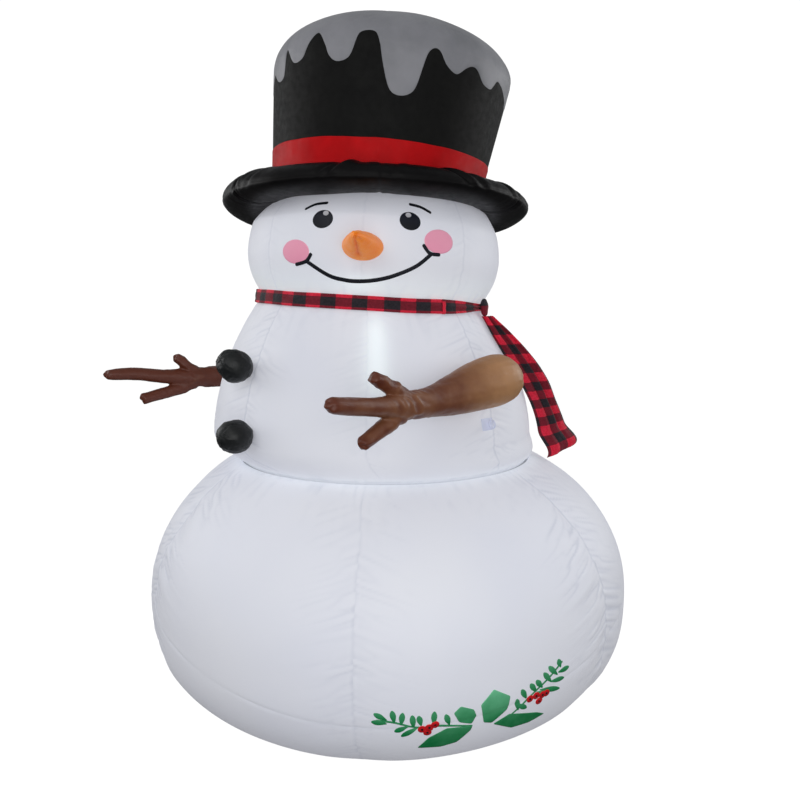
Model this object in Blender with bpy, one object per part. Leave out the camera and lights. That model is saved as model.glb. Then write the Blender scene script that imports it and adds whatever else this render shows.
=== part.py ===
"""An inflatable yard snowman, 2.42 m tall: three blown-up cloth bodies, a top hat, twig arms and a scarf.

Metres, +Z up. The ground is Z = 0 and the vertical axis of the base ball is X = Y = 0.
An azimuth is measured from the front (-Y) and grows towards +X.
"""

import math
from collections import namedtuple

import bmesh
import bpy
from mathutils import Matrix, Vector

# ---------------------------------------------------------------- driving dimensions
SKIN = 0.001          # cloth shells
GAP = 0.0003          # clearance between neighbours
ROUND = 36            # sides of a big turned shell
SMALL_ROUND = 24      # sides of a small turned piece

# A bulge is a turned body: widest radius, its height, then half height and roundness below and above.
Bulge = namedtuple("Bulge", "radius middle below below_power above above_power")
BASE = Bulge(0.857, 0.443, 0.467, 2.45, 0.589, 2.12)
TORSO = Bulge(0.570, 1.020, 0.201, 2.20, 0.720, 1.65)
HEAD = Bulge(0.444, 0.148, 0.311, 2.00, 0.473, 1.71)   # measured from the neck, in the head's frame

FLOOR_RADIUS = 0.365
BOWL_FOOT_Z = 0.002
PANEL_SEAM_Z = 0.340
WAIST_Z = 0.922
NECK_Z = 1.482
DRIFT_Z = 0.780       # above this the axis drifts to -X, first to the waist's and then to the neck's
WAIST_X = -0.012
BODY_X = -0.059
HEAD_TILT = 3.0       # degrees, head and hat lean to +X
HAT_PITCH = 3.5       # degrees, the hat leans back on the head
HEAD_TOP = 0.230      # above the neck
HEAD_SHOULDER = ((0.238, 0.026), (0.254, 0.062), (0.300, 0.070))   # inside the brim: height, inset
BAFFLE_HOLE = 0.12

HAT_Z = 0.318         # middle of the brim above the neck
BRIM_RING = 0.450     # radius of the middle of the brim's section
BRIM_HALF_WIDTH = 0.090
BRIM_RISE = 0.052
BRIM_DROP = 0.060
BRIM_ROLL = -1.7      # degrees, how the brim lies against the crown
BRIM_PITCH = 1.5
BRIM_OPEN_ANGLE = 150.0
CROWN_FOOT = 0.030    # heights in the hat, above the middle of the brim
CROWN_SEAM = 0.428
CROWN_TOP = 0.624
CROWN_FOOT_RADIUS = 0.362
CROWN_EDGE_RADIUS = 0.411
CROWN_DOME_POWER = 2.08
CROWN_FOOT_X = -0.004   # the crown's axis: at its foot, at its seam and at the top of the dome
CROWN_SEAM_X = 0.034
CROWN_TOP_X = -0.002
BAND_LOW = 0.062
BAND_HIGH = 0.158

NOSE_AZIMUTH = -2.8
NOSE_Z = 0.165
NOSE_LENGTH = 0.200
NOSE_HALF_WIDTH = 0.062
NOSE_HALF_HEIGHT = 0.043
NOSE_LIFT = 1.5       # degrees the tip points up
NOSE_SWING = -0.5     # degrees the tip points to -X

TORSO_FRONT = -50.0   # azimuth the torso's buttons and arms face
SHOULDER_Z = 1.238
# Along the arm from the shoulder: forward, outward from the shoulder point, up, radius.
ARM_SECTIONS = (
    (-0.092, 0.086, 0.010, 0.012), (-0.074, 0.088, 0.008, 0.052), (-0.044, 0.090, 0.004, 0.073),
    (0.000, 0.091, 0.000, 0.080), (0.080, 0.092, -0.012, 0.075), (0.180, 0.096, -0.030, 0.060),
    (0.280, 0.107, -0.040, 0.044), (0.377, 0.120, -0.040, 0.037), (0.500, 0.145, -0.030, 0.027),
    (0.620, 0.165, -0.014, 0.024),
)
UPPER_TWIG = ((0.352, 0.118, -0.042, 0.024), (0.410, 0.125, 0.000, 0.0215))
LOWER_TWIG = ((0.350, 0.118, -0.040, 0.026), (0.450, 0.130, -0.080, 0.0235))
# The tips of the arm, its upper and its lower twig, which differ between the left (+1) and the right (-1).
TIPS = {
    1: ((0.690, 0.178, -0.004, 0.021), (0.518, 0.136, 0.054, 0.020), (0.560, 0.140, -0.130, 0.021)),
    -1: ((0.728, 0.178, -0.012, 0.021), (0.462, 0.136, 0.050, 0.020), (0.605, 0.140, -0.112, 0.021)),
}
ARM_LIFT = {1: 0.0, -1: -0.028}    # the -X arm hangs lower
ROOT_RADIUS = 0.050
BUTTONS = {"button_upper": (1.276, -47.5, 0.056), "button_lower": (1.065, -40.5, 0.057)}
BUTTON_HALF_DEPTH = 0.063

SCARF_LOW = -0.034
SCARF_HIGH = 0.017
SCARF_THICK = 0.0015
KNOT_AZIMUTH = 67.0
KEEPER_AZIMUTH = 36.0
TAIL_THICK = 0.008
# Down the tail: height, azimuth, distance off the torso's widest reach there, width, turn of its face.
TAIL_SECTIONS = (
    (1.425, 68.0, 0.020, 0.048, 24.0), (1.360, 68.5, 0.036, 0.088, 38.0), (1.280, 71.5, 0.048, 0.112, 45.0),
    (1.200, 76.0, 0.056, 0.120, 49.0), (1.120, 81.5, 0.064, 0.116, 50.0), (1.040, 86.5, 0.082, 0.128, 52.0),
    (0.985, 88.5, 0.100, 0.142, 54.0), (0.928, 89.5, 0.128, 0.146, 56.0),
)

FAN_Z = 0.100         # axis of the fan, along Y
DUCT_RADIUS = 0.075
DUCT_WALL = 0.0035
DUCT_FRONT = 0.785
DUCT_BACK = 0.925
FLANGE_RADIUS = 0.088
FLANGE_THICK = 0.008
SCREW_RING = 0.0835
GRILLE_THICK = 0.005
SLEEVE_END = 0.820

ZIP_Z = (0.200, 0.240)
ZIP_AZIMUTHS = (125.0, 160.0)
TAB_AZIMUTHS = (45.0, 135.0, 225.0, 315.0)
TAB_REACH = 0.125
TAB_WIDTH = 0.040
TAB_THICK = 0.0015
TAB_HOLE = 0.009
TETHERS = {"left": (42.6, 1.094), "right": (-142.6, 1.094), "back": (130.0, 1.150)}
LAMPS = {"base": 0.600, "torso": 1.360, "head": 0.120}


# ---------------------------------------------------------------- small tools
def clear_scene():
    for obj in list(bpy.data.objects):
        bpy.data.objects.remove(obj)


def material(name, color, roughness, metallic=0.0):
    made = bpy.data.materials.new(name)
    made.use_nodes = True
    shader = made.node_tree.nodes["Principled BSDF"]
    shader.inputs["Base Color"].default_value = (*color, 1.0)
    shader.inputs["Roughness"].default_value = roughness
    shader.inputs["Metallic"].default_value = metallic
    return made


def heading(azimuth):
    """The horizontal unit vector at an azimuth."""
    angle = math.radians(azimuth)
    return Vector((math.sin(angle), -math.cos(angle), 0.0))


def ease(value):
    value = min(max(value, 0.0), 1.0)
    return value * value * (3.0 - 2.0 * value)


def bulge_radius(bulge, z):
    """Superellipse section: the widest radius at the middle, closing over the half height."""
    reach, power = (bulge.above, bulge.above_power) if z > bulge.middle else (bulge.below, bulge.below_power)
    share = min(abs(z - bulge.middle) / reach, 1.0)
    return bulge.radius * (1.0 - share**power) ** (1.0 / power)


def place(mesh_tool, name, finish, origin=(0.0, 0.0, 0.0), turn=None, smooth=40.0):
    """Makes the object of a bmesh that is modelled round its own origin, and puts it in its place."""
    bmesh.ops.recalc_face_normals(mesh_tool, faces=mesh_tool.faces[:])
    mesh = bpy.data.meshes.new(name)
    mesh_tool.to_mesh(mesh)
    mesh_tool.free()
    mesh.shade_smooth()
    mesh.set_sharp_from_angle(angle=math.radians(smooth))
    mesh.materials.append(finish)
    obj = bpy.data.objects.new(name, mesh)
    bpy.context.collection.objects.link(obj)
    obj.matrix_world = Matrix.Translation(origin) @ (turn.to_4x4() if turn else Matrix())
    return obj


def helper(obj):
    """Marks a cutter or a joined half, which isn't a piece of its own."""
    obj.hide_render = True
    obj.display_type = "WIRE"
    return obj


def combine(obj, other, operation):
    step = obj.modifiers.new(operation.title() + " " + other.name, "BOOLEAN")
    step.operation = operation
    step.solver = "EXACT"
    step.object = helper(other)


def loft(rings, closed_ends=True, looped=False):
    """Joins equal rings of points by quads. Ends close with a face, or the last ring joins the first."""
    mesh_tool = bmesh.new()
    rows = [[mesh_tool.verts.new(point) for point in ring] for ring in rings]
    pairs = list(zip(rows, rows[1:]))
    if looped:
        pairs.append((rows[-1], rows[0]))
    for low, high in pairs:
        for index in range(len(low)):
            after = (index + 1) % len(low)
            mesh_tool.faces.new((low[index], low[after], high[after], high[index]))
    if closed_ends and not looped:
        mesh_tool.faces.new(reversed(rows[0]))
        mesh_tool.faces.new(rows[-1])
    return mesh_tool


def ring_at(radius, z, x=0.0, roll=0.0, pitch=0.0, sides=ROUND):
    """A ring of points round the vertical, its plane leaning to +X by roll and back to +Y by pitch degrees."""
    lean = Matrix.Rotation(math.radians(roll), 3, "Y") @ Matrix.Rotation(math.radians(-pitch), 3, "X")
    points = []
    for index in range(sides):
        angle = 2.0 * math.pi * index / sides
        flat = Vector((radius * math.cos(angle), radius * math.sin(angle), 0.0))
        points.append(Vector((x, 0.0, z)) + lean @ flat)
    return points


def turned(profile, sides=SMALL_ROUND):
    """A closed outline of (radius, z) points turned into a ring, or into a solid if its ends are on the axis."""
    if profile[0][0] or profile[-1][0]:
        return loft([ring_at(radius, z, sides=sides) for radius, z in profile], looped=True)
    mesh_tool = loft([ring_at(radius, z, sides=sides) for radius, z in profile[1:-1]], closed_ends=False)
    rims = (mesh_tool.verts[:sides], mesh_tool.verts[-sides:])
    for rim, (_, z) in zip([list(r) for r in rims], (profile[0], profile[-1])):
        pole = mesh_tool.verts.new((0.0, 0.0, z))
        for index, vert in enumerate(rim):
            mesh_tool.faces.new((vert, rim[(index + 1) % sides], pole))
    return mesh_tool


def shell_of(stations, thickness=SKIN, sides=ROUND):
    """An open cloth tube: each station is (radius, z, x, roll, pitch), and the cloth lies inside that radius."""
    outer = [ring_at(*station, sides) for station in stations]
    inner = [ring_at(station[0] - thickness, *station[1:], sides) for station in reversed(stations)]
    return loft(outer + inner, looped=True)


def spread(low, high, count):
    """Heights from low to high, closer together near both ends."""
    return [low + (high - low) * 0.5 * (1.0 - math.cos(math.pi * step / count)) for step in range(count + 1)]


def swept_rings(sections, sides=10):
    """Rings square to the path through (point, radius) sections."""
    points = [Vector(point) for point, _ in sections]
    side = Vector((0.0, 0.0, 1.0))
    rings = []
    for index, (_, radius) in enumerate(sections):
        along = (points[min(index + 1, len(points) - 1)] - points[max(index - 1, 0)]).normalized()
        side = (side - along * side.dot(along)).normalized()
        other = along.cross(side)
        turn = [2.0 * math.pi * step / sides for step in range(sides)]
        rings.append([points[index] + radius * (math.cos(a) * side + math.sin(a) * other) for a in turn])
    return rings


def pouch(outer, inner):
    """A cloth pouch with an open mouth: equal lists of rings, each from the mouth to the closed end."""
    mesh_tool = bmesh.new()
    skins = [[[mesh_tool.verts.new(point) for point in ring] for ring in skin] for skin in (outer, inner)]
    pairs = [pair for skin in skins for pair in zip(skin, skin[1:])] + [(skins[0][0], skins[1][0])]
    for low, high in pairs:
        for index in range(len(low)):
            after = (index + 1) % len(low)
            mesh_tool.faces.new((low[index], low[after], high[after], high[index]))
    for skin in skins:
        mesh_tool.faces.new(skin[-1])
    return mesh_tool


def block(size, centre=(0.0, 0.0, 0.0)):
    mesh_tool = bmesh.new()
    bmesh.ops.create_cube(mesh_tool, size=1.0, matrix=Matrix.Translation(centre) @ Matrix.Diagonal((*size, 1.0)))
    return mesh_tool


def ellipsoid(half_x, half_y, half_z, rows=8, sides=16):
    mesh_tool = bmesh.new()
    shape = Matrix.Diagonal((half_x, half_y, half_z, 1.0))
    bmesh.ops.create_uvsphere(mesh_tool, u_segments=sides, v_segments=rows, radius=1.0, matrix=shape)
    return mesh_tool


# ---------------------------------------------------------------- frames
HEAD_TURN = Matrix.Rotation(math.radians(HEAD_TILT), 3, "Y")
HAT_TURN = HEAD_TURN @ Matrix.Rotation(math.radians(-HAT_PITCH), 3, "X")
HEAD_ORIGIN = Vector((BODY_X, 0.0, NECK_Z))
ALONG_Y = Matrix.Rotation(math.radians(-90.0), 3, "X")   # turns +Z to +Y


def in_head(point):
    """A point of the head's frame, whose origin is the neck's middle, in world coordinates."""
    return HEAD_ORIGIN + HEAD_TURN @ Vector(point)


def base_x(z):
    return WAIST_X * ease((z - DRIFT_Z) / (WAIST_Z - DRIFT_Z))


def torso_x(z):
    return WAIST_X + (BODY_X - WAIST_X) * ease((z - WAIST_Z) / (TORSO.middle - WAIST_Z))


def torso_roll(z):
    return HEAD_TILT * ease((z - TORSO.middle) / (NECK_Z - TORSO.middle))


def head_pitch(z):
    return HAT_PITCH * ease((z - HEAD.middle) / (HEAD_TOP - HEAD.middle))


def torso_point(azimuth, z, off=0.0):
    """A point off the torso's surface, whose rings lean more and more towards the neck."""
    sideways = heading(azimuth).x * bulge_radius(TORSO, z)
    reach = bulge_radius(TORSO, z + sideways * math.sin(math.radians(torso_roll(z))))
    return Vector((torso_x(z), 0.0, z)) + heading(azimuth) * (reach + off)


def facing(bulge, azimuth, z):
    """Turn whose +Z is the surface's outward normal, and whose +X runs round the body."""
    step = 0.002
    slope = (bulge_radius(bulge, z + step) - bulge_radius(bulge, z - step)) / (2.0 * step)
    normal = (heading(azimuth) + Vector((0.0, 0.0, -slope))).normalized()
    around = heading(azimuth + 90.0)
    return Matrix((around, normal.cross(around), normal)).transposed()


# ---------------------------------------------------------------- inflated bodies
def base_stations(low, high, count):
    return [(bulge_radius(BASE, z), z, base_x(z), 0.0, 0.0) for z in spread(low, high, count)]


def make_bodies(white, lining):
    place(turned([(0.0, 0.0), (FLOOR_RADIUS, 0.0), (FLOOR_RADIUS, 0.0015), (0.0, 0.0015)], ROUND),
          "base_floor", lining)
    place(shell_of(base_stations(PANEL_SEAM_Z + GAP, WAIST_Z - GAP, 8)), "base_ball", white)
    torso = [(bulge_radius(TORSO, z), z, torso_x(z), torso_roll(z), 0.0)
             for z in spread(WAIST_Z + GAP, NECK_Z - GAP, 7)]
    place(shell_of(torso), "torso_skin", white)
    head = [(bulge_radius(HEAD, z), z, 0.0, 0.0, head_pitch(z)) for z in spread(GAP, HEAD_TOP, 7)]
    edge = bulge_radius(HEAD, HEAD_TOP)
    head += [(edge - inset, z, 0.0, 0.0, HAT_PITCH) for z, inset in HEAD_SHOULDER]
    place(shell_of(head), "head_skin", white, HEAD_ORIGIN, HEAD_TURN)


def make_baffles(lining):
    """Cloth rings that hold the waist and the neck in, each just below its seam."""
    waist = bulge_radius(BASE, WAIST_Z) - 0.006
    neck = bulge_radius(HEAD, 0.0) - 0.006
    for name, radius, x, z, turn in (("waist_baffle", waist, WAIST_X, WAIST_Z - 0.006, None),
                                     ("neck_baffle", neck, BODY_X, NECK_Z - 0.006, HEAD_TURN)):
        outline = [(BAFFLE_HOLE, 0.0), (radius, 0.0), (radius, 0.0015), (BAFFLE_HOLE, 0.0015)]
        place(turned(outline, ROUND), name, lining, (x, 0.0, z), turn)


# ---------------------------------------------------------------- hat
def crown_radius(height):
    """A cone that widens to its edge, then a dome."""
    if height < CROWN_SEAM:
        share = (height - CROWN_FOOT) / (CROWN_SEAM - CROWN_FOOT)
        return CROWN_FOOT_RADIUS + (CROWN_EDGE_RADIUS - CROWN_FOOT_RADIUS) * share
    share = min((height - CROWN_SEAM) / (CROWN_TOP - CROWN_SEAM), 1.0)
    return CROWN_EDGE_RADIUS * (1.0 - share**CROWN_DOME_POWER) ** (1.0 / CROWN_DOME_POWER)


def crown_x(height):
    if height < CROWN_SEAM:
        return CROWN_FOOT_X + (CROWN_SEAM_X - CROWN_FOOT_X) * (height - CROWN_FOOT) / (CROWN_SEAM - CROWN_FOOT)
    share = (height - CROWN_SEAM) / (CROWN_TOP - CROWN_SEAM)
    return CROWN_SEAM_X + (CROWN_TOP_X - CROWN_SEAM_X) * share * share


def crown_stations(heights, off=0.0):
    return [(crown_radius(z) + off, z, crown_x(z), 0.0, 0.0) for z in heights]


def brim_section(shrink, angles):
    """The brim's section is an oval that is higher above its middle than below."""
    points = []
    for angle in angles:
        rise = BRIM_RISE if angle > 0.0 else BRIM_DROP
        points.append((BRIM_RING + (BRIM_HALF_WIDTH - shrink) * math.cos(angle), (rise - shrink) * math.sin(angle)))
    return points


def make_hat(black, satin, snow, red):
    origin = in_head((0.0, 0.0, HAT_Z))
    edge = math.radians(BRIM_OPEN_ANGLE)
    angles = [edge - 2.0 * edge * step / 8 for step in range(9)]
    outline = brim_section(0.0, angles) + brim_section(SKIN, reversed(angles))
    rest = Matrix.Rotation(math.radians(BRIM_ROLL), 3, "Y") @ Matrix.Rotation(math.radians(-BRIM_PITCH), 3, "X")
    place(turned(outline, ROUND), "hat_brim", satin, origin, HAT_TURN @ rest)
    side = crown_stations([CROWN_FOOT, BAND_LOW, BAND_HIGH, 0.5 * (BAND_HIGH + CROWN_SEAM), CROWN_SEAM])
    place(shell_of(side), "hat_crown", black, origin, HAT_TURN)
    shares = [math.sin(0.5 * math.pi * step / 5) for step in range(5)] + [0.998]
    foot = CROWN_SEAM + GAP
    levels = [foot + (CROWN_TOP - foot) * share for share in shares]
    cap = [ring_at(*station) for station in crown_stations(levels)]
    under = [ring_at(radius - SKIN, z - SKIN * (z > foot), x) for radius, z, x, _, _ in crown_stations(levels)]
    place(pouch(cap, under), "hat_top", snow, origin, HAT_TURN)
    band = crown_stations([BAND_LOW, BAND_HIGH], 0.0015)
    place(shell_of(band), "hat_band", red, origin, HAT_TURN)


# ---------------------------------------------------------------- face, buttons, arms
def nose_ring(share, shrink):
    """An oval ring of the carrot, at a share of its length."""
    size = math.sqrt(1.0 - share) * (1.0 - 0.25 * share)
    ring = []
    for step in range(16):
        angle = 2.0 * math.pi * step / 16
        across = (NOSE_HALF_WIDTH * size - shrink) * math.cos(angle)
        up = (NOSE_HALF_HEIGHT * size - shrink) * math.sin(angle)
        ring.append((across, up, NOSE_LENGTH * share - shrink * (share > 0.0)))
    return ring


def make_nose(orange):
    """A carrot: oval rings that shrink to a blunt tip, hollow from its sewn edge."""
    shares = (0.0, 0.15, 0.35, 0.6, 0.85, 0.97)
    carrot = pouch([nose_ring(share, 0.0) for share in shares], [nose_ring(share, SKIN) for share in shares])
    turn = facing(HEAD, NOSE_AZIMUTH, NOSE_Z)
    lean = Matrix.Rotation(math.radians(-NOSE_LIFT), 3, "X") @ Matrix.Rotation(math.radians(NOSE_SWING), 3, "Y")
    spot = heading(NOSE_AZIMUTH) * (bulge_radius(HEAD, NOSE_Z) + 0.010) + Vector((0.0, 0.0, NOSE_Z))
    place(carrot, "carrot_nose", orange, in_head(spot), HEAD_TURN @ turn @ lean)


def make_buttons(black):
    """Stuffed cloth puffs, each sewn at one point of the torso."""
    for name, (z, azimuth, radius) in BUTTONS.items():
        puff = ellipsoid(radius, radius, BUTTON_HALF_DEPTH, rows=8, sides=14)
        place(puff, name, black, torso_point(azimuth, z, BUTTON_HALF_DEPTH + 0.004), facing(TORSO, azimuth, z))


def arm_section(side, section, shrink=0.0):
    """World place and radius of a section of the left (+1) or right (-1) arm."""
    forward, out, up, radius = section
    shoulder = torso_point(TORSO_FRONT + 90.0 * side, SHOULDER_Z)
    outward = heading(TORSO_FRONT + 90.0 * side)
    point = shoulder + outward * out + heading(TORSO_FRONT) * forward + Vector((0.0, 0.0, up + ARM_LIFT[side]))
    return point - shoulder, radius - shrink


def make_arm(name, side, brown):
    """A club-shaped sleeve with three twigs, sewn on by a short round root."""
    azimuth = TORSO_FRONT + 90.0 * side
    origin = torso_point(azimuth, SHOULDER_Z)
    turn = facing(TORSO, azimuth, SHOULDER_Z)
    arm_tip, upper_tip, lower_tip = TIPS[side]
    outer = swept_rings([arm_section(side, section) for section in (*ARM_SECTIONS, arm_tip)])
    inner = swept_rings([arm_section(side, section, 1.5 * SKIN) for section in ARM_SECTIONS])
    inner.append([0.5 * (low + high) for low, high in zip(inner[-1], outer[-1])])
    arm = place(pouch(outer, inner), name, brown, origin)
    for part, twig in (("upper", (*UPPER_TWIG, upper_tip)), ("lower", (*LOWER_TWIG, lower_tip))):
        tube = loft(swept_rings([arm_section(side, section) for section in twig], sides=8))
        combine(arm, place(tube, name + "_" + part, brown, origin), "UNION")
    root = turned([(0.0, 0.002), (ROOT_RADIUS, 0.002), (ROOT_RADIUS, 0.042), (0.0, 0.042)], 16)
    combine(arm, place(root, name + "_root", brown, origin, turn), "UNION")


# ---------------------------------------------------------------- scarf
def scarf_radius(z):
    """The scarf lies in the neck's groove: a shallow cone from the torso's top to the head's foot."""
    low = bulge_radius(TORSO, NECK_Z + SCARF_LOW) + 0.0035
    high = bulge_radius(HEAD, SCARF_HIGH) + 0.0030
    return low + (high - low) * (z - SCARF_LOW) / (SCARF_HIGH - SCARF_LOW)


def make_scarf(plaid):
    stations = [(scarf_radius(z) + SCARF_THICK, z, 0.0, 0.0, 0.0) for z in (SCARF_LOW, SCARF_HIGH)]
    place(shell_of(stations, SCARF_THICK), "scarf_band", plaid, HEAD_ORIGIN, HEAD_TURN)
    middle = 0.5 * (SCARF_LOW + SCARF_HIGH)
    slope = math.atan2(scarf_radius(SCARF_LOW) - scarf_radius(SCARF_HIGH), SCARF_HIGH - SCARF_LOW)
    out = scarf_radius(middle) + SCARF_THICK
    for name, azimuth, make, off in (
        ("scarf_keeper", KEEPER_AZIMUTH, lambda: block((0.012, 0.056, 0.0015)), 0.0015),
        ("scarf_knot", KNOT_AZIMUTH, lambda: ellipsoid(0.020, 0.029, 0.011), 0.0125),
    ):
        normal = (heading(azimuth) + Vector((0.0, 0.0, math.tan(slope)))).normalized()
        around = heading(azimuth + 90.0)
        turn = Matrix((around, normal.cross(around), normal)).transposed()
        spot = heading(azimuth) * out + Vector((0.0, 0.0, middle)) + normal * off
        place(make(), name, plaid, in_head(spot), HEAD_TURN @ turn)


def make_tail(plaid):
    """The scarf's loose end: a strip that turns its face to the front as it leaves the torso's side."""
    rings = []
    origin = torso_point(TAIL_SECTIONS[0][1], TAIL_SECTIONS[0][0], TAIL_SECTIONS[0][2])
    for z, azimuth, off, width, turn in TAIL_SECTIONS:
        middle = torso_point(azimuth, z, off) - origin
        across = heading(azimuth + 90.0 - turn) * (0.5 * width)
        through = heading(azimuth - turn) * (0.5 * TAIL_THICK)
        rings.append([middle - across - through, middle + across - through,
                      middle + across + through, middle - across + through])
    place(loft(rings), "scarf_tail", plaid, origin)


# ---------------------------------------------------------------- fan
def fan_place(mesh_tool, name, finish, y):
    """Fan pieces are turned about +Z and then laid along +Y."""
    return place(mesh_tool, name, finish, (0.0, y, FAN_Z), ALONG_Y)


def screw_spots():
    for index in range(4):
        angle = math.radians(45.0 + 90.0 * index)
        yield index + 1, Vector((math.cos(angle), math.sin(angle), 0.0)) * SCREW_RING


def screw_holes(name, finish):
    mesh_tool = bmesh.new()
    for _, spot in screw_spots():
        hole = Matrix.Translation(spot)
        bmesh.ops.create_cone(mesh_tool, cap_ends=True, segments=10, radius1=0.002, radius2=0.002,
                              depth=0.060, matrix=hole)
    return fan_place(mesh_tool, name, finish, DUCT_BACK)


def make_duct(plastic):
    inner = DUCT_RADIUS - DUCT_WALL
    length = DUCT_BACK - DUCT_FRONT
    outline = [(inner, 0.0), (DUCT_RADIUS, 0.0), (DUCT_RADIUS, length - FLANGE_THICK),
               (FLANGE_RADIUS, length - FLANGE_THICK), (FLANGE_RADIUS, length), (inner, length)]
    duct = fan_place(turned(outline, 32), "fan_duct", plastic, DUCT_FRONT)
    combine(duct, screw_holes("flange_holes", plastic), "DIFFERENCE")
    low = FAN_Z - DUCT_RADIUS * 0.6
    stand = place(block((0.100, 0.070, low), (0.0, 0.870, 0.5 * low)), "fan_stand", plastic)
    saddle = turned([(0.0, -0.060), (DUCT_RADIUS + GAP, -0.060), (DUCT_RADIUS + GAP, 0.060), (0.0, 0.060)], 32)
    combine(stand, fan_place(saddle, "stand_saddle", plastic, 0.870), "DIFFERENCE")


def make_grille(plastic, steel):
    """Rim, three rings and four spokes in one moulding, held by four screws."""
    top = GRILLE_THICK
    rim = turned([(0.076, 0.0), (FLANGE_RADIUS, 0.0), (FLANGE_RADIUS, top), (0.076, top)], 32)
    grille = fan_place(rim, "fan_grille", plastic, DUCT_BACK + GAP)
    for radius in (0.018, 0.038, 0.058):
        ring = turned([(radius - 0.002, 0.001), (radius + 0.002, 0.001), (radius + 0.002, 0.004),
                       (radius - 0.002, 0.004)], 16)
        combine(grille, fan_place(ring, "grille_ring_%d" % round(radius * 1000), plastic, DUCT_BACK + GAP), "UNION")
    for index, angle in enumerate((0.0, 90.0)):
        bar = block((0.156, 0.004, 0.0024), (0.0, 0.0, 0.0025))
        bmesh.ops.rotate(bar, verts=bar.verts[:], matrix=Matrix.Rotation(math.radians(angle), 3, "Z"))
        combine(grille, fan_place(bar, "grille_bar_%d" % index, plastic, DUCT_BACK + GAP), "UNION")
    combine(grille, screw_holes("grille_holes", plastic), "DIFFERENCE")
    for index, spot in screw_spots():
        outline = [(0.0, -0.010), (0.0016, -0.010), (0.0016, 0.0), (0.0040, 0.0), (0.0036, 0.0025), (0.0, 0.0025)]
        seat = Vector((0.0, DUCT_BACK + GRILLE_THICK + 2.0 * GAP, FAN_Z)) + ALONG_Y @ spot
        place(turned(outline, 8), "grille_screw_%d" % index, steel, seat, ALONG_Y)


def make_motor(plastic, steel):
    """Motor can on three struts, its shaft, and a rotor with seven blades."""
    body = turned([(0.0, 0.0), (0.026, 0.0), (0.026, 0.050), (0.0, 0.050)], 20)
    motor = fan_place(body, "fan_motor", steel, 0.800)
    reach = DUCT_RADIUS - DUCT_WALL - 0.0006
    for index in range(3):
        strut = block((reach - 0.020, 0.004, 0.016), (0.5 * (reach + 0.020), 0.0, 0.020))
        turn = Matrix.Rotation(math.radians(90.0 + 120.0 * index), 3, "Z")
        bmesh.ops.rotate(strut, verts=strut.verts[:], matrix=turn)
        combine(motor, fan_place(strut, "motor_strut_%d" % index, steel, 0.800), "UNION")
    shaft = turned([(0.0, 0.0), (0.003, 0.0), (0.003, 0.036), (0.0, 0.036)], 12)
    fan_place(shaft, "fan_shaft", steel, 0.850 + GAP)
    hub = turned([(0.0033, 0.0), (0.022, 0.0), (0.022, 0.022), (0.0033, 0.022)], 20)
    rotor = fan_place(hub, "fan_rotor", plastic, 0.860)
    for index in range(7):
        blade = block((0.048, 0.024, 0.0016), (0.043, 0.0, 0.011))
        pitch = Matrix.Rotation(math.radians(360.0 / 7 * index), 3, "Z") @ Matrix.Rotation(math.radians(35.0), 3, "X")
        bmesh.ops.rotate(blade, cent=(0.0, 0.0, 0.011), verts=blade.verts[:], matrix=pitch)
        combine(rotor, fan_place(blade, "rotor_blade_%d" % index, plastic, 0.860), "UNION")


def bowl_solid(off, name, finish):
    """The space inside the bowl, grown by off, as a cutter."""
    levels = spread(BOWL_FOOT_Z, PANEL_SEAM_Z, 6)
    rings = [ring_at(bulge_radius(BASE, z) + off, z) for z in levels]
    return place(loft(rings), name, finish)


def make_bowl_and_sleeve(white, lining, cord, plastic):
    """The bowl has a round air hole at the back, and the sleeve joins it to the fan duct."""
    bowl = place(shell_of(base_stations(BOWL_FOOT_Z, PANEL_SEAM_Z - GAP, 6)), "base_bowl", white)
    hole = turned([(0.0, 0.450), (0.066, 0.450), (0.066, 0.850), (0.0, 0.850)])
    combine(bowl, fan_place(hole, "bowl_hole", white, 0.0), "DIFFERENCE")
    bore = DUCT_RADIUS + GAP
    sleeve = fan_place(turned([(bore, 0.520), (bore + SKIN, 0.520), (bore + SKIN, SLEEVE_END), (bore, SLEEVE_END)], 32),
                       "fan_sleeve", lining, 0.0)
    combine(sleeve, bowl_solid(0.0008, "sleeve_end_cut", lining), "DIFFERENCE")
    centre = bore + SKIN + 0.0025
    turns = [(centre + 0.002 * math.cos(a), 0.002 * math.sin(a)) for a in (math.radians(60.0 * s) for s in range(6))]
    fan_place(turned(turns, 32), "sleeve_drawstring", cord, SLEEVE_END - 0.012)
    lock = ellipsoid(0.008, 0.012, 0.007, rows=6, sides=10)
    place(lock, "cord_lock", plastic, (0.0, SLEEVE_END - 0.012, FAN_Z + centre + 0.0100))


def make_inlet(plastic):
    """Low-voltage socket on the side of the duct, with its bore outwards."""
    outline = [(0.0, 0.0), (0.009, 0.0), (0.009, 0.014), (0.004, 0.014), (0.004, 0.004), (0.0, 0.004)]
    turn = Matrix.Rotation(math.radians(90.0), 3, "Y")
    place(turned(outline, 32), "power_inlet", plastic, (DUCT_RADIUS + 2.0 * GAP, 0.890, FAN_Z), turn)


# ---------------------------------------------------------------- zip, tabs, tethers, ballast, lights
def surface_strip(bulge, x, azimuths, heights, off, thick, steps):
    """A strip of cloth that follows a turned body between two azimuths and two heights."""
    rings = []
    for step in range(steps + 1):
        azimuth = azimuths[0] + (azimuths[1] - azimuths[0]) * step / steps
        ring = []
        for z, lift in ((heights[0], 0.0), (heights[1], 0.0), (heights[1], thick), (heights[0], thick)):
            ring.append(heading(azimuth) * (bulge_radius(bulge, z) + off + lift) + Vector((x, 0.0, z)))
        rings.append(ring)
    return loft(rings)


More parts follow.
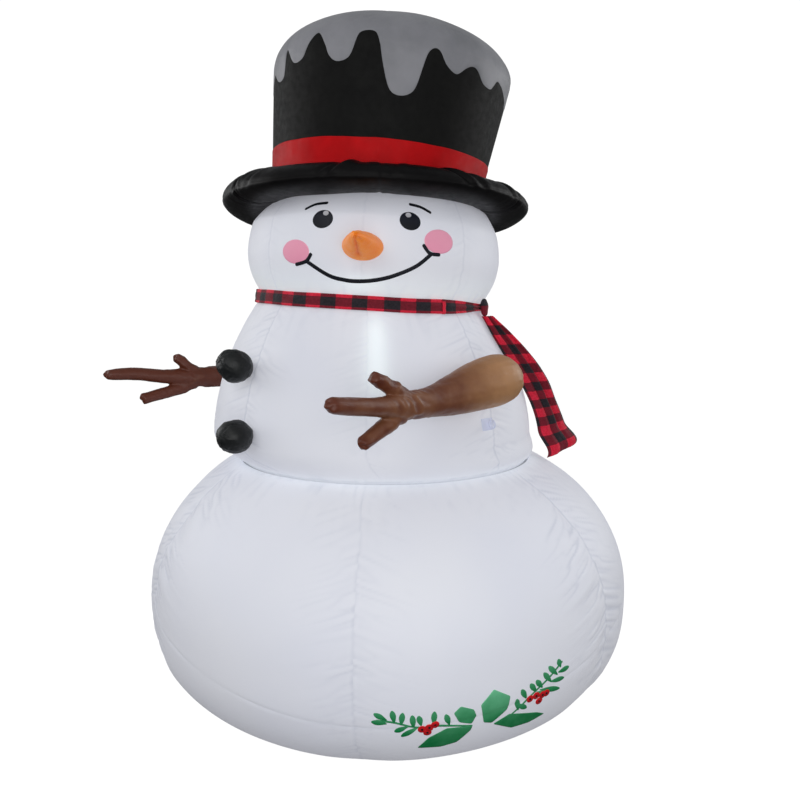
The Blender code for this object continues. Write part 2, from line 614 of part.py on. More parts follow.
def make_zip(tape, steel):
    place(surface_strip(BASE, 0.0, ZIP_AZIMUTHS, ZIP_Z, 0.003, SKIN, 10), "zipper_tape", tape)
    z = 0.5 * (ZIP_Z[0] + ZIP_Z[1])
    azimuth = ZIP_AZIMUTHS[0] + 3.0
    spot = heading(azimuth) * (bulge_radius(BASE, z) + 0.0105) + Vector((0.0, 0.0, z))
    place(block((0.014, 0.010, 0.006)), "zipper_slider", steel, spot, facing(BASE, azimuth, z))


def make_tabs(strap):
    """Ground straps with a hole for a stake, sewn under the bowl's foot."""
    for index, azimuth in enumerate(TAB_AZIMUTHS):
        turn = Matrix((heading(azimuth + 90.0), -heading(azimuth), Vector((0.0, 0.0, 1.0)))).transposed()
        inner = FLOOR_RADIUS + 0.003
        centre = (0.0, -(inner + 0.5 * TAB_REACH), 0.5 * TAB_THICK)
        tab = place(block((TAB_WIDTH, TAB_REACH, TAB_THICK), centre), "ground_tab_%d" % (index + 1), strap, turn=turn)
        hole = turned([(0.0, -0.01), (TAB_HOLE, -0.01), (TAB_HOLE, 0.01), (0.0, 0.01)], 32)
        spot = heading(azimuth) * (inner + TAB_REACH - 0.022)
        combine(tab, place(hole, "tab_hole_%d" % (index + 1), strap, spot), "DIFFERENCE")


def make_tethers(white, strap):
    for name, (azimuth, z) in TETHERS.items():
        strip = surface_strip(TORSO, BODY_X, (azimuth - 2.8, azimuth + 2.8), (z - 0.020, z + 0.020), 0.0025, SKIN, 3)
        place(strip, "tether_patch_" + name, white)
        loop = turned([(0.0120 + 0.002 * math.cos(a), 0.004 * math.sin(a))
                       for a in (math.radians(60.0 * s) for s in range(6))], 16)
        turn = facing(TORSO, azimuth, z) @ Matrix.Rotation(math.radians(90.0), 3, "Y")
        place(loop, "tether_loop_" + name, strap, torso_point(azimuth, z, 0.0210), turn)


def make_ballast(lining):
    for name, side in (("left", 1.0), ("right", -1.0)):
        bag = ellipsoid(0.110, 0.075, 0.034)
        place(bag, "ballast_bag_" + name, lining, (0.170 * side, 0.100, 0.037))


def make_lead(name, points, black):
    """A thin lead through its points, rounded by a Catmull-Rom curve."""
    path = [Vector(point) for point in points]
    fine = []
    for index in range(len(path) - 1):
        before = path[max(index - 1, 0)]
        after = path[min(index + 2, len(path) - 1)]
        low, high = path[index], path[index + 1]
        for step in range(5):
            t = step / 5
            fine.append(0.5 * (2.0 * low + (high - before) * t + (2.0 * before - 5.0 * low + 4.0 * high - after) * t * t
                               + (3.0 * low - before - 3.0 * high + after) * t**3))
    fine.append(path[-1])
    curve = bpy.data.curves.new(name, "CURVE")
    curve.dimensions = "3D"
    curve.bevel_depth = 0.0025
    curve.bevel_resolution = 2
    curve.use_fill_caps = True
    spline = curve.splines.new("POLY")
    spline.points.add(len(fine) - 1)
    for target, point in zip(spline.points, fine):
        target.co = (*point, 1.0)
    curve.materials.append(black)
    bpy.context.collection.objects.link(bpy.data.objects.new(name, curve))


def make_lights(clear, black):
    """One lamp in each body, hung on a lead that runs up the middle."""
    spots = {"base": Vector((WAIST_X, 0.0, LAMPS["base"])), "torso": Vector((BODY_X, 0.0, LAMPS["torso"])),
             "head": in_head((0.0, 0.0, LAMPS["head"]))}
    for name, spot in spots.items():
        outline = [(0.0, 0.0), (0.012, 0.0), (0.014, 0.012), (0.020, 0.016), (0.020, 0.034), (0.012, 0.044),
                   (0.0, 0.044)]
        place(turned(outline, 16), "lamp_" + name, clear, spot)
    top = Vector((0.0, 0.0, 0.044 + GAP))
    foot = Vector((0.0, 0.0, -GAP))
    make_lead("lead_base", [(0.0, 0.800 - GAP, FAN_Z), (0.0, 0.700, 0.102), (0.0, 0.560, 0.125), (-0.004, 0.350, 0.200),
                            (-0.008, 0.120, 0.330), (-0.012, 0.015, 0.480), spots["base"] + foot], black)
    for name, low, high in (("lead_torso", "base", "torso"), ("lead_head", "torso", "head")):
        start, end = spots[low] + top, spots[high] + foot
        make_lead(name, [start, start.lerp(end, 0.33), start.lerp(end, 0.67), end], black)


def main():
    clear_scene()
    white = material("white_cloth", (0.80, 0.81, 0.84), 0.45)
    lining = material("grey_lining", (0.45, 0.46, 0.48), 0.60)
    black = material("black_cloth", (0.012, 0.012, 0.014), 0.50)
    satin = material("black_satin", (0.018, 0.018, 0.020), 0.35)
    snow = material("snow_cloth", (0.38, 0.38, 0.41), 0.50)
    red = material("red_cloth", (0.52, 0.02, 0.03), 0.45)
    orange = material("orange_cloth", (0.80, 0.24, 0.06), 0.45)
    brown = material("brown_satin", (0.13, 0.055, 0.03), 0.38)
    plaid = material("plaid_cloth", (0.42, 0.02, 0.04), 0.60)
    strap = material("webbing", (0.70, 0.70, 0.74), 0.70)
    plastic = material("fan_plastic", (0.03, 0.03, 0.03), 0.40)
    steel = material("steel", (0.55, 0.55, 0.56), 0.30, 1.0)
    clear = material("lamp_plastic", (0.90, 0.90, 0.85), 0.20)
    make_bodies(white, lining)
    make_bowl_and_sleeve(white, lining, strap, plastic)
    make_baffles(lining)
    make_hat(black, satin, snow, red)
    make_nose(orange)
    make_buttons(black)
    make_arm("left_arm", 1, brown)
    make_arm("right_arm", -1, brown)
    make_scarf(plaid)
    make_tail(plaid)
    make_duct(plastic)
    make_grille(plastic, steel)
    make_motor(plastic, steel)
    make_inlet(plastic)
    make_zip(lining, steel)
    make_tabs(strap)
    make_tethers(white, strap)
    make_ballast(lining)
    make_lights(clear, black)


main()
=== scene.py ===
"""The looks of an inflatable yard snowman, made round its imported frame.

Metres, +Z up, in the frame's own axes. An azimuth is in degrees from the front (-Y) and grows towards +X.
"""

import math
from collections import namedtuple

import bmesh
import bpy
import numpy as np
from mathutils import Matrix, Vector, noise as grain


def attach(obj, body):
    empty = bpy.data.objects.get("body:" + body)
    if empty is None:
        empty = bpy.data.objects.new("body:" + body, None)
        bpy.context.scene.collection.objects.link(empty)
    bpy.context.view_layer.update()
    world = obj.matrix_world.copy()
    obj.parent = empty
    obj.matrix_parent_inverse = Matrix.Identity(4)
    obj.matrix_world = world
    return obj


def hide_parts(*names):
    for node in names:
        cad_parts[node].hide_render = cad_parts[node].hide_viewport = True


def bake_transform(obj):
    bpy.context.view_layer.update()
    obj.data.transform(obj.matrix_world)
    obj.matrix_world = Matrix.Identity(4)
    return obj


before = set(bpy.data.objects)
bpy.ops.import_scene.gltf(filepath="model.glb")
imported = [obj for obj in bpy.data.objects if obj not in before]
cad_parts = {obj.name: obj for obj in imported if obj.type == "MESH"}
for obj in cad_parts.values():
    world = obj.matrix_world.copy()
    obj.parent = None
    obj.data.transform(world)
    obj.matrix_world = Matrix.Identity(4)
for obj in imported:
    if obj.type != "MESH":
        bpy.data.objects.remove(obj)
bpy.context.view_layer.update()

# ---------------------------------------------------------------- the frame's driving dimensions
Bulge = namedtuple("Bulge", "radius middle below below_power above above_power")
BASE = Bulge(0.857, 0.443, 0.467, 2.45, 0.589, 2.12)
TORSO = Bulge(0.570, 1.020, 0.201, 2.20, 0.720, 1.65)
HEAD = Bulge(0.444, 0.148, 0.311, 2.00, 0.473, 1.71)   # measured from the neck, in the head's frame

FLOOR_RADIUS = 0.365
FOOT_Z = 0.002
WAIST_Z = 0.922
NECK_Z = 1.482
DRIFT_Z = 0.780
WAIST_X = -0.012
BODY_X = -0.059
HEAD_TILT = 3.0
HAT_PITCH = 3.5
HEAD_TOP = 0.230
HEAD_END = 0.330      # where the head's cloth goes under the hat
BAFFLE_HOLE = 0.12

HAT_Z = 0.318
BRIM_RING = 0.450
BRIM_HALF_WIDTH = 0.090
BRIM_RISE = 0.060
BRIM_DROP = 0.060
BRIM_ROLL = -1.7
BRIM_PITCH = 1.5
CROWN_FOOT = 0.030
CROWN_SEAM = 0.428
CROWN_TOP = 0.624
CROWN_FOOT_RADIUS = 0.362
CROWN_EDGE_RADIUS = 0.411
CROWN_DOME_POWER = 2.08
CROWN_FOOT_X = -0.004
CROWN_SEAM_X = 0.034
CROWN_TOP_X = -0.002
BAND_LOW = 0.062
BAND_HIGH = 0.158

NOSE_AZIMUTH = -2.8
NOSE_Z = 0.165
NOSE_LENGTH = 0.200
NOSE_HALF_WIDTH = 0.062
NOSE_HALF_HEIGHT = 0.043
NOSE_LIFT = 1.5
NOSE_SWING = -0.5

TORSO_FRONT = -50.0
SHOULDER_Z = 1.238
# Along the arm from the shoulder: forward, outward from the shoulder point, up, radius.
ARM_SECTIONS = (
    (-0.092, 0.086, 0.010, 0.012), (-0.074, 0.088, 0.008, 0.052), (-0.044, 0.090, 0.004, 0.073),
    (0.000, 0.091, 0.000, 0.080), (0.080, 0.092, -0.012, 0.075), (0.180, 0.096, -0.030, 0.060),
    (0.280, 0.107, -0.040, 0.044), (0.377, 0.120, -0.040, 0.037), (0.500, 0.145, -0.030, 0.027),
    (0.620, 0.165, -0.014, 0.024),
)
UPPER_TWIG = ((0.352, 0.118, -0.042, 0.024), (0.410, 0.125, 0.000, 0.0215))
LOWER_TWIG = ((0.350, 0.118, -0.040, 0.026), (0.450, 0.130, -0.080, 0.0235))
# The tips of the arm, its upper and its lower twig, which differ between the left (+1) and the right (-1).
TIPS = {
    1: ((0.690, 0.178, -0.004, 0.021), (0.518, 0.136, 0.054, 0.020), (0.560, 0.140, -0.130, 0.021)),
    -1: ((0.728, 0.178, -0.012, 0.021), (0.462, 0.136, 0.050, 0.020), (0.605, 0.140, -0.112, 0.021)),
}
ARM_LIFT = {1: 0.0, -1: -0.028}
ROOT_RADIUS = 0.050
BUTTONS = {"upper": (1.276, -47.5, 0.056), "lower": (1.065, -40.5, 0.057)}
BUTTON_HALF_DEPTH = 0.063
STITCH_PULL = 0.008     # how far the stitch draws a button into the torso's cloth

SCARF_LOW = -0.034
SCARF_HIGH = 0.017
KNOT_AZIMUTH = 67.0
KEEPER_AZIMUTH = 36.0
# Down the tail: height, azimuth, distance off the torso's widest reach there, width, turn of its face.
TAIL_SECTIONS = (
    (1.425, 68.0, 0.020, 0.048, 24.0), (1.360, 68.5, 0.036, 0.088, 38.0), (1.280, 71.5, 0.048, 0.112, 45.0),
    (1.200, 76.0, 0.056, 0.120, 49.0), (1.120, 81.5, 0.064, 0.116, 50.0), (1.040, 86.5, 0.082, 0.128, 52.0),
    (0.985, 88.5, 0.100, 0.142, 54.0), (0.928, 89.5, 0.128, 0.146, 56.0),
)

FAN_Z = 0.100
DUCT_RADIUS = 0.075
SLEEVE_START = 0.520
SLEEVE_END = 0.820
ZIP_Z = (0.200, 0.240)
ZIP_AZIMUTHS = (125.0, 160.0)
TAB_AZIMUTHS = (45.0, 135.0, 225.0, 315.0)
TAB_REACH = 0.125
TAB_WIDTH = 0.040
TAB_HOLE = 0.009
TETHERS = {"left": (42.6, 1.094), "right": (-142.6, 1.094), "back": (130.0, 1.150)}

# ---------------------------------------------------------------- the cloth's own dimensions
BASE_SEAMS = [-66.5, -6.0, 54.5, 115.0, 175.5, 236.0]
BASE_PULLS = [1.0, 0.22, 1.0, 0.8, 0.7, 0.8]        # how strongly each seam puckers the cloth beside it
TORSO_SEAMS = [45.0 * step for step in range(8)]
TORSO_PULLS = [0.25, 0.9, 0.8, 0.7, 0.8, 0.7, 0.8, 0.9]
HEAD_SEAMS = [45.0 * step - 3.0 for step in range(8)]
HEAD_PULLS = [0.2, 0.4, 0.8, 0.7, 0.8, 0.7, 0.8, 0.4]
BRIM_SEAMS = [60.0 * step - 57.0 for step in range(6)]
# Deep folds of the brim: azimuth at the rim, its lean across the section, depth.
BRIM_FOLDS = ((-15.0, 0.07, 0.008), (-19.0, 0.10, 0.004), (34.0, -0.10, 0.010), (40.0, -0.06, 0.005),
              (-58.0, 0.09, 0.008), (-48.0, 0.05, 0.004), (58.0, -0.05, 0.006), (6.0, 0.04, 0.003),
              (95.0, 0.06, 0.007), (150.0, 0.08, 0.008), (205.0, -0.08, 0.007), (262.0, 0.06, 0.006))
CHECK = 0.084         # one black and one red check of the scarf's loose end
BAND_CHECK = 0.105    # the same along the scarf's band, which is cut larger
PRINT_LIFT = 0.0009   # printed film above the cloth


# ---------------------------------------------------------------- small tools
def ease(value):
    value = np.clip(value, 0.0, 1.0)
    return value * value * (3.0 - 2.0 * value)


def heading(azimuth):
    """The horizontal unit vectors at these azimuths."""
    angle = np.radians(azimuth)
    return np.stack([np.sin(angle), -np.cos(angle), np.zeros_like(angle)], axis=-1)


def bulge_radius(bulge, z):
    """Superellipse section: the widest radius at the middle, closing over the half height."""
    above = z > bulge.middle
    reach = np.where(above, bulge.above, bulge.below)
    power = np.where(above, bulge.above_power, bulge.below_power)
    share = np.clip(np.abs(z - bulge.middle) / reach, 0.0, 1.0)
    return bulge.radius * (1.0 - share**power) ** (1.0 / power)


def ring_points(azimuth, radius, z, x=0.0, roll=0.0, pitch=0.0):
    """Points on rings round the vertical. A ring leans to +X by roll and back to +Y by pitch degrees."""
    azimuth, radius, z, x, roll, pitch = np.broadcast_arrays(azimuth, radius, z, x, roll, pitch)
    roll, pitch = np.radians(roll), np.radians(pitch)
    flat = heading(azimuth) * radius[..., None]
    lifted = -np.sin(pitch) * flat[..., 1]
    return np.stack([
        x + np.cos(roll) * flat[..., 0] + np.sin(roll) * lifted,
        np.cos(pitch) * flat[..., 1],
        z - np.sin(roll) * flat[..., 0] + np.cos(roll) * lifted,
    ], axis=-1)


def moved(points, turn, origin):
    """Points turned by a matrix and then moved to an origin."""
    return points @ np.array(turn).T + np.array(origin)


def raised(shape, across, along, off, steps=(0.1, 0.002)):
    """Points of the surface shape(across, along), moved out by off along its normal."""
    side = shape(across + steps[0], along) - shape(across - steps[0], along)
    up = shape(across, along + steps[1]) - shape(across, along - steps[1])
    normal = np.cross(side, up)
    normal /= np.maximum(np.linalg.norm(normal, axis=-1, keepdims=True), 1e-12)
    return shape(across, along) + normal * np.asarray(off)[..., None]


def random_waves(u, v, seed, around=0):
    """Smooth random values from -1 to 1, new at each whole u and v. u repeats after around cells."""
    cells = max(around, 256)
    table = np.random.default_rng(seed).uniform(-1.0, 1.0, (cells, 256))
    u, v = np.broadcast_arrays(u, v)
    low_u, low_v = np.floor(u).astype(int), np.floor(v).astype(int)
    share_u, share_v = ease(u - low_u), ease(v - low_v)
    wrap = around or cells

    def at(step_u, step_v):
        return table[(low_u + step_u) % wrap, (low_v + step_v) % 256]

    low = at(0, 0) + (at(1, 0) - at(0, 0)) * share_u
    high = at(0, 1) + (at(1, 1) - at(0, 1)) * share_u
    return low + (high - low) * share_v


def creases(waves):
    """Turns smooth waves into rounded ridges with sharp valleys between them."""
    return 0.5 * waves + 0.5 * (2.0 * np.abs(waves) - 0.6)


def seam_offset(azimuth, seams):
    """Degrees from the nearest of the seams, and the share of the way across the gore that it is in."""
    gaps = (np.asarray(azimuth)[..., None] - np.array(seams) + 180.0) % 360.0 - 180.0
    nearest = np.abs(gaps).argmin(axis=-1)
    offset = np.take_along_axis(gaps, nearest[..., None], axis=-1)[..., 0]
    return offset, nearest


def gore_azimuths(seams, per_gore):
    """Azimuths round a body, closer together beside its seams."""
    made = []
    for low, high in zip(seams, [*seams[1:], seams[0] + 360.0]):
        share = np.arange(per_gore) / per_gore
        made.append(low + (high - low) * (0.35 * share + 0.325 * (1.0 - np.cos(np.pi * share))))
    return np.concatenate(made)


def smooth_path(points, count):
    """A Catmull-Rom curve through rows of numbers, at even steps of the rows' index."""
    rows = np.array(points, float)
    rows = np.concatenate([2.0 * rows[:1] - rows[1:2], rows, 2.0 * rows[-1:] - rows[-2:-1]])
    place = np.linspace(0.0, len(points) - 1.000001, count)
    low = np.floor(place).astype(int)
    t = (place - low)[:, None]
    a, b, c, d = rows[low], rows[low + 1], rows[low + 2], rows[low + 3]
    return 0.5 * (2.0 * b + (c - a) * t + (2.0 * a - 5.0 * b + 4.0 * c - d) * t**2
                  + (3.0 * b - a - 3.0 * c + d) * t**3)


# ---------------------------------------------------------------- meshes
def mesh_object(name, points, faces, finish, uv=None, smooth=True):
    """An object from points and faces. uv holds two numbers for each corner of each face."""
    mesh = bpy.data.meshes.new(name)
    mesh.from_pydata(np.asarray(points).reshape(-1, 3).tolist(), [], faces)
    if uv is not None:
        layer = mesh.uv_layers.new(name="cloth")
        layer.data.foreach_set("uv", np.asarray(uv, np.float32).ravel())
    if smooth:
        mesh.shade_smooth()
    mesh.materials.append(finish)
    obj = bpy.data.objects.new(name, mesh)
    bpy.context.scene.collection.objects.link(obj)
    return obj


def grid_faces(rows, columns, wrap, first=0):
    index = first + np.arange(rows * columns).reshape(rows, columns)
    here, after = (index, np.roll(index, -1, axis=1)) if wrap else (index[:, :-1], index[:, 1:])
    return np.stack([here[:-1], after[:-1], after[1:], here[1:]], axis=-1).reshape(-1, 4)


def grid_object(name, points, finish, wrap=False, capped=False):
    """A sheet from a grid of points. Its uv is in metres: round or across it, and along it."""
    rows, columns = points.shape[:2]
    closed = np.concatenate([points, points[:, :1]], axis=1) if wrap else points
    across = np.linalg.norm(np.diff(closed, axis=1), axis=-1).max(axis=0)
    along = np.linalg.norm(np.diff(points, axis=0), axis=-1).mean(axis=1)
    u = np.concatenate([[0.0], np.cumsum(across)])
    v = np.concatenate([[0.0], np.cumsum(along)])
    corners = np.stack(np.broadcast_arrays(u[None, :], v[:, None]), axis=-1)
    uv = np.stack([corners[:-1, :-1], corners[:-1, 1:], corners[1:, 1:], corners[1:, :-1]], axis=2)
    faces = grid_faces(rows, columns, wrap).tolist()
    uv = uv.reshape(-1, 2)
    if capped:
        faces.append(list(range((rows - 1) * columns, rows * columns)))
        uv = np.concatenate([uv, np.repeat([[0.0, v[-1]]], columns, axis=0)])
    return mesh_object(name, points, faces, finish, uv)


def give(obj, name, values):
    """Stores one number for each point of the mesh."""
    layer = obj.data.attributes.new(name, "FLOAT", "POINT")
    layer.data.foreach_set("value", np.asarray(values, np.float32).ravel())
    return obj


def joined(name, parts, finish):
    """One object from (points, faces, shades) parts, with their shades as an attribute."""
    points, faces, shades = [], [], []
    count = 0
    for part_points, part_faces, part_shades in parts:
        flat = np.asarray(part_points).reshape(-1, 3)
        points.append(flat)
        shades.append(np.broadcast_to(np.asarray(part_shades, float).ravel(), len(flat)))
        faces += [[count + index for index in face] for face in part_faces]
        count += len(flat)
    made = mesh_object(name, np.concatenate(points), faces, finish)
    return give(made, "shade", np.concatenate(shades))


def set_piece(obj, body, slot, *nodes):
    """Puts a finished piece on its body, in place of its CAD nodes."""
    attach(obj, body)
    if nodes:
        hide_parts(*nodes)
    return obj


def thicken(obj, thickness, offset=0.0):
    step = obj.modifiers.new("Solidify", "SOLIDIFY")
    step.thickness = thickness
    step.offset = offset
    return obj


# ---------------------------------------------------------------- materials
def linear(red, green, blue):
    """A colour given as on a screen, from 0 to 255, in the linear numbers of a shader."""
    share = np.array([red, green, blue]) / 255.0
    return tuple(np.where(share <= 0.04045, share / 12.92, ((share + 0.055) / 1.055) ** 2.4))


class Finish:
    """A material under construction: a Principled shader and short ways to wire nodes to it."""

    def __init__(self, name, roughness, specular=0.5, metallic=0.0, sheen=0.0, coat=0.0):
        self.material = bpy.data.materials.new(name)
        self.material.use_nodes = True
        self.tree = self.material.node_tree
        self.shader = self.tree.nodes["Principled BSDF"]
        self.set("Roughness", roughness)
        self.set("Specular IOR Level", specular)
        self.set("Metallic", metallic)
        self.set("Sheen Weight", sheen)
        self.set("Sheen Roughness", 0.5)
        self.set("Coat Weight", coat)

    def set(self, socket, value):
        self.shader.inputs[socket].default_value = value

    def node(self, kind, inputs=(), **settings):
        made = self.tree.nodes.new("ShaderNode" + kind)
        for key, value in settings.items():
            setattr(made, key, value)
        for key, value in dict(inputs).items():
            if isinstance(value, bpy.types.NodeSocket):
                self.tree.links.new(value, made.inputs[key])
            else:
                made.inputs[key].default_value = value
        return made

    def link(self, socket, output):
        self.tree.links.new(output, self.shader.inputs[socket])

    def math(self, operation, first, second=0.0):
        return self.node("Math", {0: first, 1: second}, operation=operation).outputs[0]

    def places(self, kind="Object"):
        return self.node("TexCoord").outputs[kind]

    def noise(self, scale, detail=3.0, places=None, roughness=0.5):
        inputs = {"Vector": places or self.places(), "Scale": scale, "Detail": detail, "Roughness": roughness}
        return self.node("TexNoise", inputs).outputs["Fac"]

    def waves(self, period, direction, places):
        """Even ridges, one for each period in metres."""
        made = self.node("TexWave", {"Vector": places, "Scale": 0.31416 / period, "Distortion": 0.0})
        made.bands_direction = direction
        return made.outputs["Fac"]

    def stretched(self, value, low, high):
        return self.node("MapRange", {"Value": value, "From Min": 0.3, "From Max": 0.7, "To Min": low,
                                      "To Max": high}).outputs[0]

    def mix(self, share, first, second):
        made = self.node("Mix", data_type="RGBA")
        for key, value in (("Factor", share), ("A", first), ("B", second)):
            socket = next(s for s in made.inputs
                          if s.name == key and s.type == ("VALUE" if key == "Factor" else "RGBA"))
            if isinstance(value, bpy.types.NodeSocket):
                self.tree.links.new(value, socket)
            else:
                socket.default_value = value if key == "Factor" else (*value, 1.0)
        return next(s for s in made.outputs if s.type == "RGBA")

    def attribute(self, name):
        return self.node("Attribute", attribute_name=name).outputs["Fac"]

    def bump(self, height, strength, distance):
        made = self.node("Bump", {"Height": height, "Strength": strength, "Distance": distance})
        self.link("Normal", made.outputs[0])


def add_weave(finish, period, strength=0.35, places=None, grains=90.0):
    """A plain weave of crossing threads, with a little unevenness."""
    cloth = places or finish.places("UV")
    warp = finish.waves(period, "X", cloth)
    weft = finish.waves(period, "Y", cloth)
    threads = finish.math("MULTIPLY", warp, weft)
    uneven = finish.math("MULTIPLY", finish.noise(grains), 1.5)
    finish.bump(finish.math("ADD", threads, uneven), strength, 0.0003)


def white_cloth(name, dark, light):
    """Thin coated nylon with a painted glow of lamplight from inside, painted bluer shade in the folds and
    dimmer along a seam.
    """
    finish = Finish(name, 0.52, specular=0.35, sheen=0.12)
    drift = finish.stretched(finish.noise(2.2, 2.0), 0.0, 1.0)
    body = finish.mix(drift, dark, light)
    seam = finish.math("MULTIPLY", finish.attribute("seam"), 0.06)
    # Painted shade: bluer and darker in the creases, by the crease attribute, on top of the dimmer seams.
    seam_and_painted_crease_shade = finish.math("ADD", seam, finish.math("MULTIPLY", finish.attribute("crease"), 0.20))
    finish.link("Base Color", finish.mix(seam_and_painted_crease_shade, body, linear(150, 156, 176)))
    # Painted light: the whole cloth glows as painted lamplight from inside, less in the creases and brighter
    # by the glow attribute.
    painted_inner_glow = finish.mix(finish.attribute("crease"), (0.205, 0.206, 0.228), (0.160, 0.164, 0.190))
    finish.link("Emission Color", finish.mix(finish.attribute("glow"), painted_inner_glow, (0.42, 0.47, 0.47)))
    finish.set("Emission Strength", 1.0)
    finish.link("Roughness", finish.stretched(finish.noise(38.0), 0.46, 0.60))
    add_weave(finish, 0.0011)
    return finish.material


def dyed_cloth(name, dark, light, roughness, sheen=0.2, mottling=14.0, weave=0.0011, bump=0.35, uv=True,
               specular=0.5):
    """Nylon of one colour that varies a little over the piece."""
    finish = Finish(name, roughness, specular=specular, sheen=sheen)
    drift = finish.stretched(finish.noise(mottling, 4.0), 0.0, 1.0)
    finish.link("Base Color", finish.mix(drift, dark, light))
    finish.link("Roughness", finish.stretched(finish.noise(55.0), roughness - 0.06, roughness + 0.08))
    add_weave(finish, weave, bump, None if uv else finish.places())
    return finish.material


def shaded_cloth(name, low, high, roughness, sheen=0.2, mottling=20.0, weave=0.0011, uv=True, specular=0.5,
                 glow=None):
    """Cloth or print coloured from low to high by the mesh's shade: printed tone on prints, painted light and
    shade on arms and nose. A glow is painted lamplight through it.
    """
    finish = Finish(name, roughness, specular=specular, sheen=sheen)
    drift = finish.stretched(finish.noise(mottling, 3.0), -0.10, 0.10)
    share = finish.math("ADD", finish.attribute("shade"), drift)
    finish.link("Base Color", finish.mix(share, low, high))
    finish.link("Roughness", finish.stretched(finish.noise(60.0), roughness - 0.05, roughness + 0.07))
    add_weave(finish, weave, 0.3, None if uv else finish.places())
    # Painted light: the cloth glows though it is no lamp.
    if glow:
        finish.set("Emission Color", (*glow, 1.0))
        finish.set("Emission Strength", 1.0)
    return finish.material


def plaid_cloth(name, across, along, shift=0.0):
    """Brushed check cloth: red where both sets of stripes are red, black where both are black."""
    finish = Finish(name, 0.72, specular=0.25, sheen=0.05)
    cloth = finish.places("UV")
    split = finish.node("SeparateXYZ", {0: cloth})
    stripes = []
    for output, period, start in (("X", across, 0.0), ("Y", along, shift)):
        place = finish.math("ADD", finish.math("DIVIDE", split.outputs[output], period), start)
        share = finish.math("FRACT", place)
        stripes.append(finish.math("GREATER_THAN", share, 0.5))
    both = finish.math("MULTIPLY", stripes[0], stripes[1])
    one = finish.math("MAXIMUM", stripes[0], stripes[1])
    fuzz = finish.stretched(finish.noise(160.0, 4.0), 0.0, 1.0)
    red = finish.mix(fuzz, linear(204, 16, 44), linear(230, 42, 72))
    dark = finish.mix(fuzz, linear(104, 12, 30), linear(128, 22, 42))
    black = finish.mix(fuzz, linear(22, 20, 26), linear(44, 38, 46))
    finish.link("Base Color", finish.mix(both, finish.mix(one, red, dark), black))
    turned = finish.node("Mapping", {"Vector": cloth, "Rotation": (0.0, 0.0, math.radians(45.0))}).outputs[0]
    twill = finish.waves(0.0016, "X", turned)
    finish.bump(finish.math("ADD", twill, finish.noise(400.0)), 0.5, 0.0005)
    return finish.material


def moulded_plastic(name, color, roughness, glow=0.0):
    """Fine moulded texture with slight wear in its gloss."""
    finish = Finish(name, roughness)
    lighter = tuple(min(1.0, 1.25 * part + 0.004) for part in color)
    finish.link("Base Color", finish.mix(finish.stretched(finish.noise(30.0, 4.0), 0.0, 1.0), color, lighter))
    finish.link("Roughness", finish.stretched(finish.noise(120.0), roughness - 0.08, roughness + 0.10))
    finish.bump(finish.noise(900.0, 2.0), 0.25, 0.0002)
    if glow:
        finish.set("Emission Color", (*color, 1.0))
        finish.set("Emission Strength", glow)
    return finish.material


def brushed_steel():
    finish = Finish("brushed_steel", 0.32, metallic=1.0)
    finish.link("Base Color", finish.mix(finish.noise(40.0), (0.46, 0.46, 0.47), (0.62, 0.62, 0.62)))
    lines = finish.node("Mapping", {"Vector": finish.places(), "Scale": (900.0, 900.0, 30.0)}).outputs[0]
    scratches = finish.noise(1.0, 2.0, lines)
    finish.link("Roughness", finish.stretched(scratches, 0.24, 0.44))
    finish.bump(scratches, 0.15, 0.0001)
    return finish.material


def studio_floor():
    """Pale matt floor, bright enough to run into the background."""
    finish = Finish("pale_floor", 0.9, specular=0.0)
    finish.link("Base Color", finish.mix(finish.noise(3.0), (0.14, 0.14, 0.14), (0.16, 0.16, 0.16)))
    finish.set("Emission Color", (1.0, 1.0, 1.0, 1.0))
    finish.link("Emission Strength", finish.math("MULTIPLY",
                                                 finish.node("LightPath").outputs["Is Camera Ray"], 0.97))
    return finish.material


